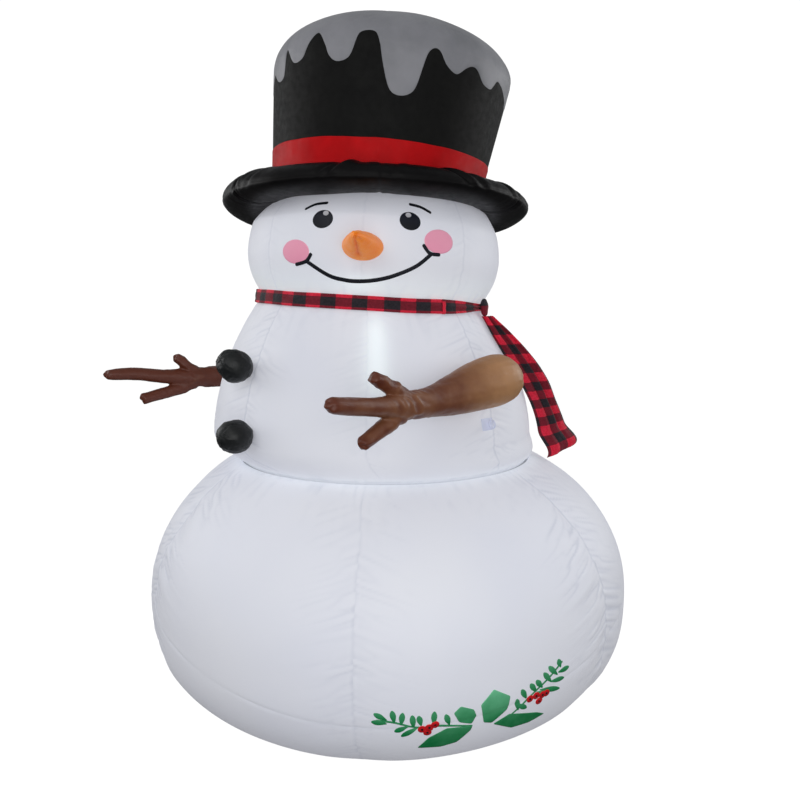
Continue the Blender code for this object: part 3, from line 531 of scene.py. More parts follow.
def make_finishes():
    return {
        "white": white_cloth("white_nylon", linear(200, 203, 213), linear(208, 210, 216)),
        "lining": dyed_cloth("grey_lining", linear(176, 180, 186), linear(196, 199, 204), 0.6),
        "black": dyed_cloth("black_nylon", linear(9, 9, 9), linear(16, 16, 15), 0.6, sheen=0.0,
                            specular=0.12),
        "puff": dyed_cloth("black_puff", linear(16, 18, 19), linear(26, 29, 30), 0.42, sheen=0.0,
                           specular=0.3, uv=False),
        "satin": dyed_cloth("black_satin", linear(6, 5, 6), linear(13, 12, 13), 0.42, sheen=0.0,
                            specular=0.10),
        "snow": dyed_cloth("snow_grey", linear(118, 119, 124), linear(142, 142, 148), 0.5, sheen=0.05,
                           mottling=6.0),
        "red": dyed_cloth("red_nylon", linear(178, 4, 10), linear(200, 8, 16), 0.5, sheen=0.0, specular=0.1),
        # The nose glows with painted lamplight, and its shade runs from painted shade to painted light.
        "orange": shaded_cloth("orange_satin", linear(214, 80, 0), linear(255, 150, 30), 0.42, sheen=0.0,
                               specular=0.35, glow=(0.17, 0.045, 0.004)),
        # The arms run from painted shade to painted light by their shade attribute.
        "brown": shaded_cloth("brown_satin", linear(94, 46, 30), linear(176, 130, 90), 0.40, sheen=0.0,
                              uv=False, specular=0.35),
        "band": plaid_cloth("plaid_band", BAND_CHECK, 0.056, 0.25),
        "plaid": plaid_cloth("plaid_tail", CHECK, CHECK),
        "webbing": dyed_cloth("woven_webbing", linear(200, 200, 206), linear(222, 222, 226), 0.75,
                              weave=0.0024, bump=0.8),
        "patch": white_cloth("patch_nylon", linear(166, 174, 204), linear(176, 184, 210)),
        "ink": shaded_cloth("print_black", linear(14, 16, 24), linear(34, 37, 52), 0.45, sheen=0.0,
                            specular=0.25),
        "pink": shaded_cloth("print_pink", linear(248, 158, 188), linear(255, 176, 200), 0.5, sheen=0.0),
        "light": shaded_cloth("print_light", linear(150, 152, 160), linear(220, 220, 226), 0.5),
        "green": shaded_cloth("print_green", linear(0, 126, 66), linear(118, 206, 158), 0.5, sheen=0.0,
                              specular=0.25),
        "berry": shaded_cloth("print_berry", linear(150, 6, 16), linear(240, 30, 38), 0.5, sheen=0.0,
                              specular=0.3),
        "plastic": moulded_plastic("fan_plastic", linear(38, 38, 40), 0.42),
        "lamp": moulded_plastic("lamp_plastic", (0.90, 0.90, 0.84), 0.25, glow=2.0),
        "rubber": moulded_plastic("lead_rubber", linear(26, 26, 27), 0.6),
        "steel": brushed_steel(),
    }


FINISH = make_finishes()

# ---------------------------------------------------------------- frames and surfaces
HEAD_TURN = Matrix.Rotation(math.radians(HEAD_TILT), 3, "Y")
HAT_TURN = HEAD_TURN @ Matrix.Rotation(math.radians(-HAT_PITCH), 3, "X")
BRIM_TURN = HAT_TURN @ Matrix.Rotation(math.radians(BRIM_ROLL), 3, "Y") @ Matrix.Rotation(
    math.radians(-BRIM_PITCH), 3, "X")
HEAD_ORIGIN = np.array([BODY_X, 0.0, NECK_Z])
HAT_ORIGIN = moved(np.array([0.0, 0.0, HAT_Z]), HEAD_TURN, HEAD_ORIGIN)


def base_shape(azimuth, z):
    x = WAIST_X * ease((z - DRIFT_Z) / (WAIST_Z - DRIFT_Z))
    return ring_points(azimuth, bulge_radius(BASE, z), z, x)


def torso_x(z):
    return WAIST_X + (BODY_X - WAIST_X) * ease((z - WAIST_Z) / (TORSO.middle - WAIST_Z))


def torso_roll(z):
    return HEAD_TILT * ease((z - TORSO.middle) / (NECK_Z - TORSO.middle))


def torso_shape(azimuth, z):
    return ring_points(azimuth, bulge_radius(TORSO, z), z, torso_x(z), torso_roll(z))


def head_pitch(z):
    return HAT_PITCH * ease((z - HEAD.middle) / (HEAD_TOP - HEAD.middle))


def head_radius(azimuth, z):
    """The head's cloth draws in a little under the brim, most on the -X side."""
    share = np.clip((z - 0.235) / 0.105, 0.0, 2.0) ** 1.2
    return bulge_radius(HEAD, z) - 0.040 * share * (1.0 - 0.5 * np.sin(np.radians(azimuth)))


def head_shape(azimuth, z):
    local = ring_points(azimuth, head_radius(azimuth, z), z, 0.0, 0.0, head_pitch(z))
    return moved(local, HEAD_TURN, HEAD_ORIGIN)


def head_ring(azimuth, height):
    """The ring of the head that passes through a height above the neck, at an azimuth."""
    z = np.array(height, float)
    for _ in range(8):
        lift = bulge_radius(HEAD, z) * np.cos(np.radians(azimuth)) * np.sin(np.radians(head_pitch(z)))
        z = height - lift
    return z


def panel_seam(azimuth):
    """Height of the wavy seam between the base's bowl and its ball."""
    return 0.39 - 0.09 * np.cos(np.radians(2.0 * azimuth))


def torso_point(azimuth, z, off=0.0):
    """A point off the torso's surface, whose rings lean more and more towards the neck."""
    way = heading(azimuth)
    reach = bulge_radius(TORSO, z + way[0] * bulge_radius(TORSO, z) * math.sin(math.radians(torso_roll(z))))
    return np.array([torso_x(z), 0.0, z]) + way * (reach + off)


def facing(bulge, azimuth, z):
    """Turn whose +Z is the surface's outward normal, and whose +X runs round the body."""
    step = 0.002
    slope = (bulge_radius(bulge, z + step) - bulge_radius(bulge, z - step)) / (2.0 * step)
    normal = heading(azimuth) + np.array([0.0, 0.0, -slope])
    normal /= np.linalg.norm(normal)
    around = heading(azimuth + 90.0)
    return np.stack([around, np.cross(normal, around), normal], axis=1)


# ---------------------------------------------------------------- the relief of blown-up cloth
def gore_relief(azimuth, z, radius, seams, pulls, seed, pull=0.005, pucker=0.0016, reach=0.085,
                spacing=0.017):
    """Gores that belly out between their seams, with short sloping puckers beside each seam."""
    offset, nearest = seam_offset(azimuth, seams)
    away = np.abs(np.radians(offset)) * radius
    sewn = np.array(pulls)[nearest]
    belly = -pull * (0.3 + 0.7 * sewn) * np.exp(-((away / 0.07) ** 1.2))
    groove = -0.0009 * sewn * np.exp(-((away / 0.005) ** 2))
    slope = z + 0.30 * away + 3.1 * nearest
    fine = creases(random_waves(slope / spacing, away / 0.10 + 7.0 * (offset > 0.0), seed))
    broad = random_waves(slope / (2.7 * spacing), away / 0.16, seed + 1)
    strength = 0.45 + 0.55 * random_waves(z / 0.16 + 5.0 * nearest, 0.5 * (offset > 0.0), seed + 2) ** 2
    fade = sewn * np.exp(-((away / reach) ** 1.5))
    return belly + groove + pucker * fade * strength * (0.7 * fine + 0.9 * broad)


def ring_relief(azimuth, away, around, seed, height=0.0018, reach=0.05):
    """Puckers that run square to a seam round the body."""
    share = azimuth / 360.0 * around
    fine = creases(random_waves(share, away / 0.09, seed, around))
    broad = random_waves(share / 3.0, away / 0.2, seed + 1, around // 3)
    sewn = 1.0 - np.exp(-((away / 0.006) ** 2))
    return sewn * (0.001 + height * np.exp(-((away / reach) ** 1.2)) * (0.6 * fine + 0.8 * broad))


def swell(azimuth, z, seed, height=0.0025):
    """The slow unevenness of a cloth body."""
    return height * random_waves(azimuth / 24.0, z / 0.21, seed, 15)


def waist_relief(azimuth, z):
    """The puckers that base and torso share at the seam between them."""
    return ring_relief(azimuth, np.abs(z - WAIST_Z), 150, 21, reach=0.05)


def base_relief(azimuth, z):
    radius = bulge_radius(BASE, z)
    made = gore_relief(azimuth, z, radius, BASE_SEAMS, BASE_PULLS, 11, pull=0.007, pucker=0.0058, reach=0.15)
    made += ring_relief(azimuth, np.abs(z - panel_seam(azimuth)), 198, 23, height=0.0012, reach=0.035)
    made += ring_relief(azimuth, np.abs(z - FOOT_Z), 120, 25, height=0.0016, reach=0.04)
    made = (made + swell(azimuth, z, 27)) * ease((WAIST_Z - z) / 0.04)
    return (made + waist_relief(azimuth, z)) * ease((z + 0.02) / 0.05)


def torso_relief(azimuth, z):
    radius = bulge_radius(TORSO, z)
    made = gore_relief(azimuth, z, radius, TORSO_SEAMS, TORSO_PULLS, 31, pucker=0.0042, reach=0.10)
    made += ring_relief(azimuth, np.abs(z - NECK_Z), 90, 43, height=0.0024, reach=0.07)
    return (made + swell(azimuth, z, 47)) * ease((z - WAIST_Z) / 0.04) + waist_relief(azimuth, z)


def head_relief(azimuth, z):
    radius = bulge_radius(HEAD, z)
    made = gore_relief(azimuth, z, radius, HEAD_SEAMS, HEAD_PULLS, 51, pull=0.004, pucker=0.0022, reach=0.055)
    made += ring_relief(azimuth, np.abs(z), 90, 61, height=0.0024, reach=0.055)
    made += ring_relief(azimuth, np.abs(z - HEAD_END), 90, 63, height=0.0016, reach=0.03)
    return made + swell(azimuth, z, 67, 0.0018)


def on_base(azimuth, z, off=0.0):
    return raised(base_shape, azimuth, z, base_relief(azimuth, z) + off)


def on_torso(azimuth, z, off=0.0):
    return raised(torso_shape, azimuth, z, torso_relief(azimuth, z) + off)


def on_head(azimuth, z, off=0.0):
    return raised(head_shape, azimuth, z, head_relief(azimuth, z) + off)


# ---------------------------------------------------------------- white bodies
def seam_line(azimuth, radius, seams, pulls):
    offset, nearest = seam_offset(azimuth, seams)
    return np.array(pulls)[nearest] * np.exp(-((np.radians(offset) * radius / 0.006) ** 2))


def skin(name, surface, azimuth, z, seam, glow):
    """A white cloth body from its surface, with its seams, its painted crease shade and its painted lamp glow
    stored for the shader.
    """
    points = surface(azimuth, z)
    obj = grid_object(name, points, FINISH["white"], wrap=True)
    give(obj, "crease", painted_crease_shade(points))
    give(obj, "seam", np.broadcast_to(seam, z.shape))
    return give(obj, "glow", np.broadcast_to(glow, z.shape))


def painted_crease_shade(points):
    """How far each point lies in a hollow between its neighbours, from 0 on a ridge to 1 in a crease; the
    white cloth paints shade by it.
    """
    side = 0.5 * (np.roll(points, 3, axis=1) + np.roll(points, -3, axis=1)) - points
    up = np.zeros_like(points)
    up[2:-2] = 0.5 * (points[4:] + points[:-4]) - points[2:-2]
    normal = np.cross(np.roll(points, -1, axis=1) - np.roll(points, 1, axis=1), np.gradient(points, axis=0))
    normal /= np.maximum(np.linalg.norm(normal, axis=-1, keepdims=True), 1e-12)
    depth = ((side + up) * normal).sum(axis=-1)
    return np.clip(0.35 + depth / 0.0013, 0.0, 1.0)


def spread(low, high, count):
    """Even steps from low to high, arrays allowed, down the first axis."""
    return low + (high - low) * np.linspace(0.0, 1.0, count)[:, None]


def glow_spot(azimuth, z, centre, width, low, high, blur):
    """A soft painted bright column where lamps stand behind the cloth."""
    away = (azimuth - centre + 180.0) % 360.0 - 180.0
    side = np.exp(-((away / width) ** 2))
    return side * ease((z - low) / blur + 0.5) * ease((high - z) / blur + 0.5)


def make_base():
    azimuth = gore_azimuths(BASE_SEAMS, 104)[None, :]
    seam_z = panel_seam(azimuth)
    ball_z = spread(seam_z, WAIST_Z, 118)
    bowl_z = FOOT_Z + (seam_z - FOOT_Z) * np.linspace(0.0, 1.0, 78)[:, None] ** 1.5
    for name, z, node in (("base_ball", ball_z, "base_ball"), ("base_bowl", bowl_z, "base_bowl")):
        line = seam_line(azimuth, bulge_radius(BASE, z), BASE_SEAMS, BASE_PULLS)
        line = np.maximum(line, np.exp(-((z - seam_z) / 0.006) ** 2))
        # Painted light: a narrow bright band of glow along the waist.
        glow = 0.20 * np.exp(-(((z - WAIST_Z) / 0.020) ** 2))
        body = skin(name + "_cloth", on_base, azimuth, z, line, glow)
        if node == "base_bowl":
            cut_fan_hole(body)
        set_piece(body, "base", "white_cloth", node)


def cut_fan_hole(body):
    """Takes away the cloth inside the fan's sleeve."""
    mesh = bmesh.new()
    mesh.from_mesh(body.data)
    inside = [vert for vert in mesh.verts
              if vert.co.y > 0.0 and math.hypot(vert.co.x, vert.co.z - FAN_Z) < DUCT_RADIUS - 0.004]
    bmesh.ops.delete(mesh, geom=inside, context="VERTS")
    mesh.to_mesh(body.data)
    mesh.free()


def torso_with_turned_edge(azimuth, z):
    """The torso's cloth, whose lowest ring is turned in behind the seam."""
    points = on_torso(azimuth, z)
    points[0] = ring_points(azimuth[0], bulge_radius(BASE, WAIST_Z) - 0.012, WAIST_Z - 0.004, WAIST_X)
    return points


def make_torso():
    azimuth = gore_azimuths(TORSO_SEAMS, 70)[None, :]
    z = spread(WAIST_Z, NECK_Z - 0.0003, 132) + 0.0 * azimuth
    line = seam_line(azimuth, bulge_radius(TORSO, z), TORSO_SEAMS, TORSO_PULLS)
    # Painted light: a glow of the lamps behind the front of the torso, and a bright band along the waist.
    glow = 0.75 * glow_spot(azimuth, z, 3.4, 4.4, 1.22, 1.43, 0.10)
    glow = glow + 0.25 * glow_spot(azimuth, z, 3.0, 11.0, 1.10, 1.46, 0.2)
    glow = glow + 0.30 * np.exp(-(((z - WAIST_Z) / 0.020) ** 2))
    body = skin("torso_cloth", torso_with_turned_edge, azimuth, z, line, glow)
    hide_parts("torso_skin")
    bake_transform(body)


def make_head():
    azimuth = gore_azimuths(HEAD_SEAMS, 60)[None, :]
    z = spread(0.0003, HEAD_END, 100) + 0.0 * azimuth
    line = seam_line(azimuth, bulge_radius(HEAD, z), HEAD_SEAMS, HEAD_PULLS)
    # Painted light: a glow at the chin and a brightening of the lower head, against the shade under it.
    glow = 0.45 * glow_spot(azimuth, z, -3.0, 9.0, 0.030, 0.075, 0.05)
    glow = glow + 0.55 * ease((0.13 - z) / 0.13)
    body = skin("head_cloth", on_head, azimuth, z, line, glow)
    set_piece(body, "head", "white_cloth", "head_skin")


# ---------------------------------------------------------------- prints
def chart(azimuths, heights, metre):
    """Azimuth and height pairs as flat points in metres, metre being the length of one degree."""
    return np.stack([np.asarray(azimuths) * metre, np.asarray(heights)], axis=-1)


def print_points(surface, flat, metre, lift):
    return surface(flat[..., 0] / metre, flat[..., 1], lift)


def stroke(surface, metre, points, width, lift=PRINT_LIFT, shade=0.2, taper=0.0):
    """A drawn line of a width through (azimuth, height) points, with round ends."""
    flat = chart(*np.array(points).T, metre)
    length = np.linalg.norm(np.diff(flat, axis=0), axis=1).sum()
    path = smooth_path(flat, max(int(length / 0.003), 8))
    run = np.concatenate([[0.0], np.cumsum(np.linalg.norm(np.diff(path, axis=0), axis=1))])
    half = 0.5 * width * (1.0 - taper * run / run[-1])
    end = np.clip(np.minimum(run, run[-1] - run) / (0.5 * width) + 0.15, 0.0, 1.0)
    half = half * np.sqrt(1.0 - (1.0 - end) ** 2)
    along = np.gradient(path, axis=0)
    along /= np.linalg.norm(along, axis=1, keepdims=True)
    side = np.stack([-along[:, 1], along[:, 0]], axis=1)
    steps = np.array([-1.0, -1.0, -0.5, 0.0, 0.5, 1.0, 1.0])
    lifts = np.array([-0.0008, lift, lift, lift, lift, lift, -0.0008])
    grid = path[:, None] - side[:, None] * (half[:, None] * steps)[..., None]
    made = print_points(surface, grid, metre, np.broadcast_to(lifts, grid.shape[:2]))
    return made, grid_faces(len(path), len(steps), False).tolist(), shade


def blob(surface, metre, outline, lift=PRINT_LIFT, shades=(0.0, 0.0), rounding=0):
    """A filled patch inside a closed outline of (azimuth, height) points, shaded from its foot to its top."""
    flat = chart(*np.array(outline).T, metre)
    closed = np.concatenate([flat, flat[:1]])
    run = np.concatenate([[0.0], np.cumsum(np.linalg.norm(np.diff(closed, axis=0), axis=1))])
    count = max(int(run[-1] / 0.003), 16)
    places = np.linspace(0.0, run[-1], count, endpoint=False)
    edge = np.stack([np.interp(places, run, closed[:, axis]) for axis in (0, 1)], axis=1)
    for _ in range(rounding):
        edge = 0.5 * edge + 0.25 * (np.roll(edge, 1, axis=0) + np.roll(edge, -1, axis=0))
    centre = edge.mean(axis=0)
    shares = np.array([1.0, 1.0, 0.92, 0.75, 0.55, 0.35, 0.18, 0.06])
    lifts = np.array([-0.0008] + [lift] * (len(shares) - 1))
    grid = centre + (edge[None] - centre) * shares[:, None, None]
    made = print_points(surface, grid, metre, np.broadcast_to(lifts[:, None], grid.shape[:2]))
    if np.cross(edge[0] - centre, edge[1] - centre) < 0.0:
        made = made[:, ::-1]
        grid = grid[:, ::-1]
    faces = grid_faces(len(shares), count, True).tolist()
    faces.append(list(range((len(shares) - 1) * count, len(shares) * count)))
    low, high = grid[..., 1].min(), grid[..., 1].max()
    shade = shades[0] + (shades[1] - shades[0]) * (grid[..., 1] - low) / (high - low)
    return made, faces, shade


def oval(azimuth, z, half_width, half_height, metre, turn=0.0, count=40):
    """Outline of an oval whose half sizes are in metres."""
    angle = np.linspace(0.0, 2.0 * math.pi, count, endpoint=False)
    x, y = half_width * np.cos(angle), half_height * np.sin(angle)
    turn = math.radians(turn)
    across = x * math.cos(turn) - y * math.sin(turn)
    up = x * math.sin(turn) + y * math.cos(turn)
    return np.stack([azimuth + across / metre, z + up], axis=1)


HEAD_METRE = math.radians(1.0) * HEAD.radius
BASE_METRE = math.radians(1.0) * 0.845
# The face, in azimuth and height above the neck.
EYES = (((-20.0, 0.2403), (-18.9, 0.2584), 8.0), ((16.0, 0.2483), (15.3, 0.2660), -8.0))
BROWS = (((-29.6, 0.2697), (-25.3, 0.2862), (-19.5, 0.2924)),
         ((16.2, 0.3020), (21.4, 0.2949), (26.0, 0.2792)))
CHEEKS = ((-31.7, 0.1394), (28.9, 0.1929))
MOUTH = ((-26.3, 0.1119), (-16.8, 0.0722), (-9.8, 0.0601), (-3.2, 0.0584), (4.0, 0.0660), (10.9, 0.0822),
         (19.1, 0.1128), (25.4, 0.1530))
CORNERS = (((-31.8, 0.0995), (-26.3, 0.1119), (-23.8, 0.1362)),
           ((21.5, 0.1806), (24.6, 0.1554), (29.4, 0.1522)))


def on_face(azimuth, height, off=0.0):
    """The head's surface by height above the neck, where its rings lean back."""
    return on_head(azimuth, head_ring(azimuth, height), off)


def make_face():
    black, lights = [], []
    for centre, light, turn in EYES:
        black.append(blob(on_face, HEAD_METRE, oval(*centre, 0.0345, 0.0275, HEAD_METRE, turn),
                          shades=(0.0, 0.6)))
        lights.append(blob(on_face, HEAD_METRE, oval(*light, 0.0095, 0.0070, HEAD_METRE), 2.0 * PRINT_LIFT,
                           (0.2, 0.9)))
    for brow in BROWS:
        black.append(stroke(on_face, HEAD_METRE, brow, 0.0085))
    black.append(stroke(on_face, HEAD_METRE, MOUTH, 0.0120))
    for corner in CORNERS:
        black.append(stroke(on_face, HEAD_METRE, corner, 0.0110, lift=1.6 * PRINT_LIFT))
    cheeks = [blob(on_face, HEAD_METRE, oval(*centre, 0.0525, 0.0370, HEAD_METRE), 0.6 * PRINT_LIFT,
                   (0.2, 0.6))
              for centre in CHEEKS]
    for name, parts, finish in (("face_print", black, "ink"), ("eye_light_print", lights, "light"),
                                ("cheek_print", cheeks, "pink")):
        set_piece(joined(name, parts, FINISH[finish]), "head", "white_cloth")


# The wreath, in azimuth and height: stems, then each leaflet from tip to root.
LEFT_STEM = ((-1.7, 0.331), (1.9, 0.323), (6.2, 0.304), (11.2, 0.303), (17.3, 0.288))
RIGHT_STEM = ((25.4, 0.295), (30.1, 0.353), (33.7, 0.388), (37.4, 0.428))
LEAFLETS = (
    ((-2.1, 0.353), (-0.1, 0.3355)), ((1.3, 0.363), (1.7, 0.329)), ((3.3, 0.356), (3.1, 0.322)),
    ((5.1, 0.347), (5.4, 0.311)), ((6.3, 0.344), (6.8, 0.316)), ((9.3, 0.355), (9.3, 0.317)),
    ((11.5, 0.342), (12.3, 0.310)), ((-2.6, 0.326), (-0.2, 0.321)), ((1.8, 0.291), (4.0, 0.306)),
    ((3.1, 0.273), (5.7, 0.298)), ((26.3, 0.351), (27.0, 0.317)), ((27.2, 0.378), (28.4, 0.350)),
    ((29.2, 0.389), (30.6, 0.363)), ((30.6, 0.3945), (32.1, 0.370)), ((32.4, 0.411), (34.2, 0.381)),
    ((33.6, 0.426), (35.7, 0.397)), ((36.1, 0.4385), (36.8, 0.416)), ((29.2, 0.308), (27.0, 0.328)),
    ((34.3, 0.332), (31.7, 0.351)), ((37.4, 0.340), (32.8, 0.356)), ((38.3, 0.371), (35.1, 0.375)),
    ((39.4, 0.402), (36.9, 0.398)),
)
BERRIES = ((7.1, 0.297), (8.2, 0.285), (8.5, 0.302), (9.6, 0.311), (29.6, 0.3385), (31.1, 0.343),
           (32.1, 0.321),
           (32.7, 0.340), (33.7, 0.341))
BIG_LEAVES = (
    (((13.1, 0.342), (14.4, 0.362), (17.1, 0.346), (17.8, 0.323), (17.0, 0.2975), (14.4, 0.308)), (0.1, 0.6)),
    (((6.6, 0.219), (8.6, 0.262), (12.0, 0.2925), (17.3, 0.288), (17.1, 0.272), (14.8, 0.228), (11.5, 0.214)),
     (0.0, 0.2)),
    (((21.0, 0.399), (24.7, 0.367), (24.5, 0.327), (21.5, 0.286), (19.6, 0.293), (18.5, 0.356)), (0.0, 0.95)),
    (((21.9, 0.279), (25.2, 0.304), (32.6, 0.276), (35.2, 0.258), (31.6, 0.241), (27.0, 0.241)), (0.0, 0.2)),
)


def leaflet(tip, root):
    """A slim leaf from its root to its round tip."""
    start, end = chart(*root, BASE_METRE), chart(*tip, BASE_METRE)
    start = start - 0.22 * (end - start)
    along = end - start
    side = np.array([-along[1], along[0]]) / np.linalg.norm(along)
    share = np.linspace(0.0, 1.0, 12)
    half = 0.0068 * np.sin(math.pi * share**1.4) ** 0.8 + 0.0018
    left = start + along * share[:, None] + side * half[:, None]
    right = start + along * share[::-1, None] - side * half[::-1, None]
    return np.concatenate([left, right]) / np.array([BASE_METRE, 1.0])


def make_wreath():
    greens = [stroke(on_base, BASE_METRE, stem, 0.0064, lift=0.6 * PRINT_LIFT)
              for stem in (LEFT_STEM, RIGHT_STEM)]
    for tip, root in LEAFLETS:
        greens.append(blob(on_base, BASE_METRE, leaflet(tip, root), shades=(0.0, 0.35)))
    for outline, shades in BIG_LEAVES:
        greens.append(blob(on_base, BASE_METRE, outline, 1.3 * PRINT_LIFT, shades, rounding=2))
    berries = [blob(on_base, BASE_METRE, oval(azimuth, z, 0.0120, 0.0115, BASE_METRE, count=24),
                    (1.7 + 0.25 * (index % 4)) * PRINT_LIFT, (0.1, 0.9))
               for index, (azimuth, z) in enumerate(BERRIES)]
    middles = [blob(on_base, BASE_METRE, oval(azimuth, z, 0.0034, 0.0032, BASE_METRE, count=16),
                    3.4 * PRINT_LIFT)
               for azimuth, z in BERRIES]
    set_piece(joined("berry_middle_print", middles, FINISH["ink"]), "base", "white_cloth")
    set_piece(joined("wreath_print", greens, FINISH["green"]), "base", "white_cloth")
    set_piece(joined("berry_print", berries, FINISH["berry"]), "base", "white_cloth")


# ---------------------------------------------------------------- hat
def crown_radius(height):
    share = (height - CROWN_FOOT) / (CROWN_SEAM - CROWN_FOOT)
    cone = CROWN_FOOT_RADIUS + (CROWN_EDGE_RADIUS - CROWN_FOOT_RADIUS) * share
    share = np.clip((height - CROWN_SEAM) / (CROWN_TOP - CROWN_SEAM), 0.0, 1.0)
    dome = CROWN_EDGE_RADIUS * (1.0 - share**CROWN_DOME_POWER) ** (1.0 / CROWN_DOME_POWER)
    return np.where(height < CROWN_SEAM, cone, dome)


def crown_x(height):
    low = CROWN_FOOT_X + (CROWN_SEAM_X - CROWN_FOOT_X) * (height - CROWN_FOOT) / (CROWN_SEAM - CROWN_FOOT)
    share = np.clip((height - CROWN_SEAM) / (CROWN_TOP - CROWN_SEAM), 0.0, 1.0)
    return np.where(height < CROWN_SEAM, low, CROWN_SEAM_X + (CROWN_TOP_X - CROWN_SEAM_X) * share**2)


# Height up the crown as a function of the length of cloth from its foot.
DOME_STEPS = np.sin(np.linspace(0.0, 0.5 * math.pi, 400))
CROWN_HEIGHTS = np.concatenate([np.linspace(CROWN_FOOT, CROWN_SEAM, 200)[:-1],
                                CROWN_SEAM + (CROWN_TOP - CROWN_SEAM) * DOME_STEPS])
CROWN_RUN = np.concatenate([[0.0], np.cumsum(np.hypot(np.diff(CROWN_HEIGHTS),
                                                      np.diff(crown_radius(CROWN_HEIGHTS))))])


def crown_shape(azimuth, run):
    height = np.interp(run, CROWN_RUN, CROWN_HEIGHTS)
    return moved(ring_points(azimuth, crown_radius(height), height, crown_x(height)), HAT_TURN, HAT_ORIGIN)


def crown_relief(azimuth, run):
    seam = np.interp(CROWN_SEAM, CROWN_HEIGHTS, CROWN_RUN)
    fade = ease((CROWN_RUN[-1] - run) / 0.25)
    made = ring_relief(azimuth, np.abs(run - seam), 72, 71, height=0.0030, reach=0.045)
    radius = crown_radius(np.interp(run, CROWN_RUN, CROWN_HEIGHTS))
    made += gore_relief(azimuth, run, radius, [0.0, 90.0, 180.0, 270.0], [0.4] * 4, 73, pull=0.003,
                        pucker=0.0012, reach=0.04)
    return (made + swell(azimuth, run, 77, 0.0022)) * fade


# The lower edge of the melting snow: azimuth and height on the crown, with the drips round the back alike.
SNOW_EDGE = (
    (-72.2, 0.406), (-63.9, 0.367), (-57.5, 0.377), (-56.3, 0.436), (-55.5, 0.4575), (-50.4, 0.412),
    (-47.5, 0.401),
    (-42.6, 0.411), (-39.1, 0.4505), (-34.6, 0.479), (-30.5, 0.447), (-27.4, 0.402), (-23.1, 0.382),
    (-17.8, 0.3925),
    (-15.7, 0.431), (-14.0, 0.4635), (-9.9, 0.4725), (-6.3, 0.465), (-4.7, 0.430), (-1.9, 0.362),
    (2.2, 0.298),
    (8.1, 0.285), (13.2, 0.308), (15.2, 0.379), (16.2, 0.414), (18.9, 0.432), (21.9, 0.424), (25.6, 0.391),
    (31.3, 0.371), (35.4, 0.393), (38.6, 0.405), (42.3, 0.400), (47.8, 0.370), (54.3, 0.3635), (56.7, 0.380),
    (58.8, 0.397), (64.1, 0.392), (75.1, 0.364), (82.0, 0.345), (88.0, 0.372), (94.0, 0.440), (103.0, 0.455),
    (109.0, 0.405), (114.0, 0.325), (121.0, 0.300), (127.0, 0.335), (132.0, 0.418), (140.0, 0.432),
    (148.0, 0.386),
    (156.0, 0.370), (163.0, 0.405), (169.0, 0.448), (178.0, 0.462), (186.0, 0.430), (192.0, 0.340),
    (199.0, 0.290),
    (207.0, 0.300), (213.0, 0.380), (219.0, 0.428), (228.0, 0.418), (236.0, 0.374), (245.0, 0.382),
    (251.0, 0.436),
    (259.0, 0.468), (267.0, 0.440), (273.0, 0.370), (280.0, 0.352), (284.0, 0.385),
)


def snow_height(azimuth):
    """The snow's edge, rounded at its drips and notches."""
    corners = np.array([*SNOW_EDGE, (SNOW_EDGE[0][0] + 360.0, SNOW_EDGE[0][1])])
    places, heights = smooth_path(corners, 1200).T
    fine = np.arange(0.0, 360.0, 0.25)
    around = np.interp((fine + 72.2) % 360.0 - 72.2, places, heights)
    weight = np.exp(-(np.arange(-8, 9) * 0.25 / 0.75) ** 2)
    soft = np.convolve(np.pad(around, 8, mode="wrap"), weight / weight.sum(), mode="valid")
    return np.interp(azimuth % 360.0, np.append(fine, 360.0), np.append(soft, soft[0]))


def make_crown():
    azimuth = np.arange(0.0, 360.0, 0.5)[None, :]
    edge = np.interp(snow_height(azimuth), CROWN_HEIGHTS, CROWN_RUN)
    side = spread(0.0, edge + 0.004, 96)
    top = spread(edge, 0.997 * CROWN_RUN[-1], 92)
    crown = grid_object("hat_crown_cloth", raised(crown_shape, azimuth, side, crown_relief(azimuth, side)),
                        FINISH["black"], wrap=True)
    set_piece(crown, "head", "black_cloth", "hat_crown")
    lip = 0.0012 * np.clip((top - edge) / 0.003, -0.5, 1.0)
    snow = grid_object("hat_snow_cloth", raised(crown_shape, azimuth, top, crown_relief(azimuth, top) + lip),
                       FINISH["snow"], wrap=True, capped=True)
    set_piece(snow, "head", "snow_cloth", "hat_top")


def make_band():
    azimuth = np.arange(0.0, 360.0, 0.75)[None, :]
    share = np.array([0.0, 0.0, 0.02, 0.06, 0.2, 0.35, 0.5, 0.65, 0.8, 0.94, 0.98, 1.0, 1.0])[:, None]
    height = BAND_LOW + (BAND_HIGH - BAND_LOW) * share + 0.0012 * random_waves(azimuth / 9.0, share * 2.0,
                                                                               81, 40)
    height = height - 0.009 * np.sin(np.radians(azimuth))
    run = np.interp(height, CROWN_HEIGHTS, CROWN_RUN)
    lift = 0.0024 * np.ones_like(share)
    lift[[0, -1]] = -0.001
    lift = lift + crown_relief(azimuth, run) + 0.0008 * random_waves(azimuth / 4.0, share * 3.0, 83, 90)
    band = grid_object("hat_band_cloth", raised(crown_shape, azimuth, run, lift), FINISH["red"], wrap=True)
    set_piece(band, "head", "red_cloth", "hat_band")


def brim_shape(azimuth, angle):
    """The brim is a blown-up ring: an oval section, flatter below at the front, open at hat and head."""
    turn = np.radians(angle)
    front = ease(0.35 + 0.65 * np.cos(np.radians(azimuth)))
    drop = BRIM_DROP * (1.0 - 0.36 * front)
    rise = np.where(turn > 0.0, BRIM_RISE * (1.0 - 0.14 * np.sin(np.radians(azimuth))), drop)
    radius = BRIM_RING + BRIM_HALF_WIDTH * np.cos(turn)
    return moved(ring_points(azimuth, radius, rise * np.sin(turn)), BRIM_TURN, HAT_ORIGIN)


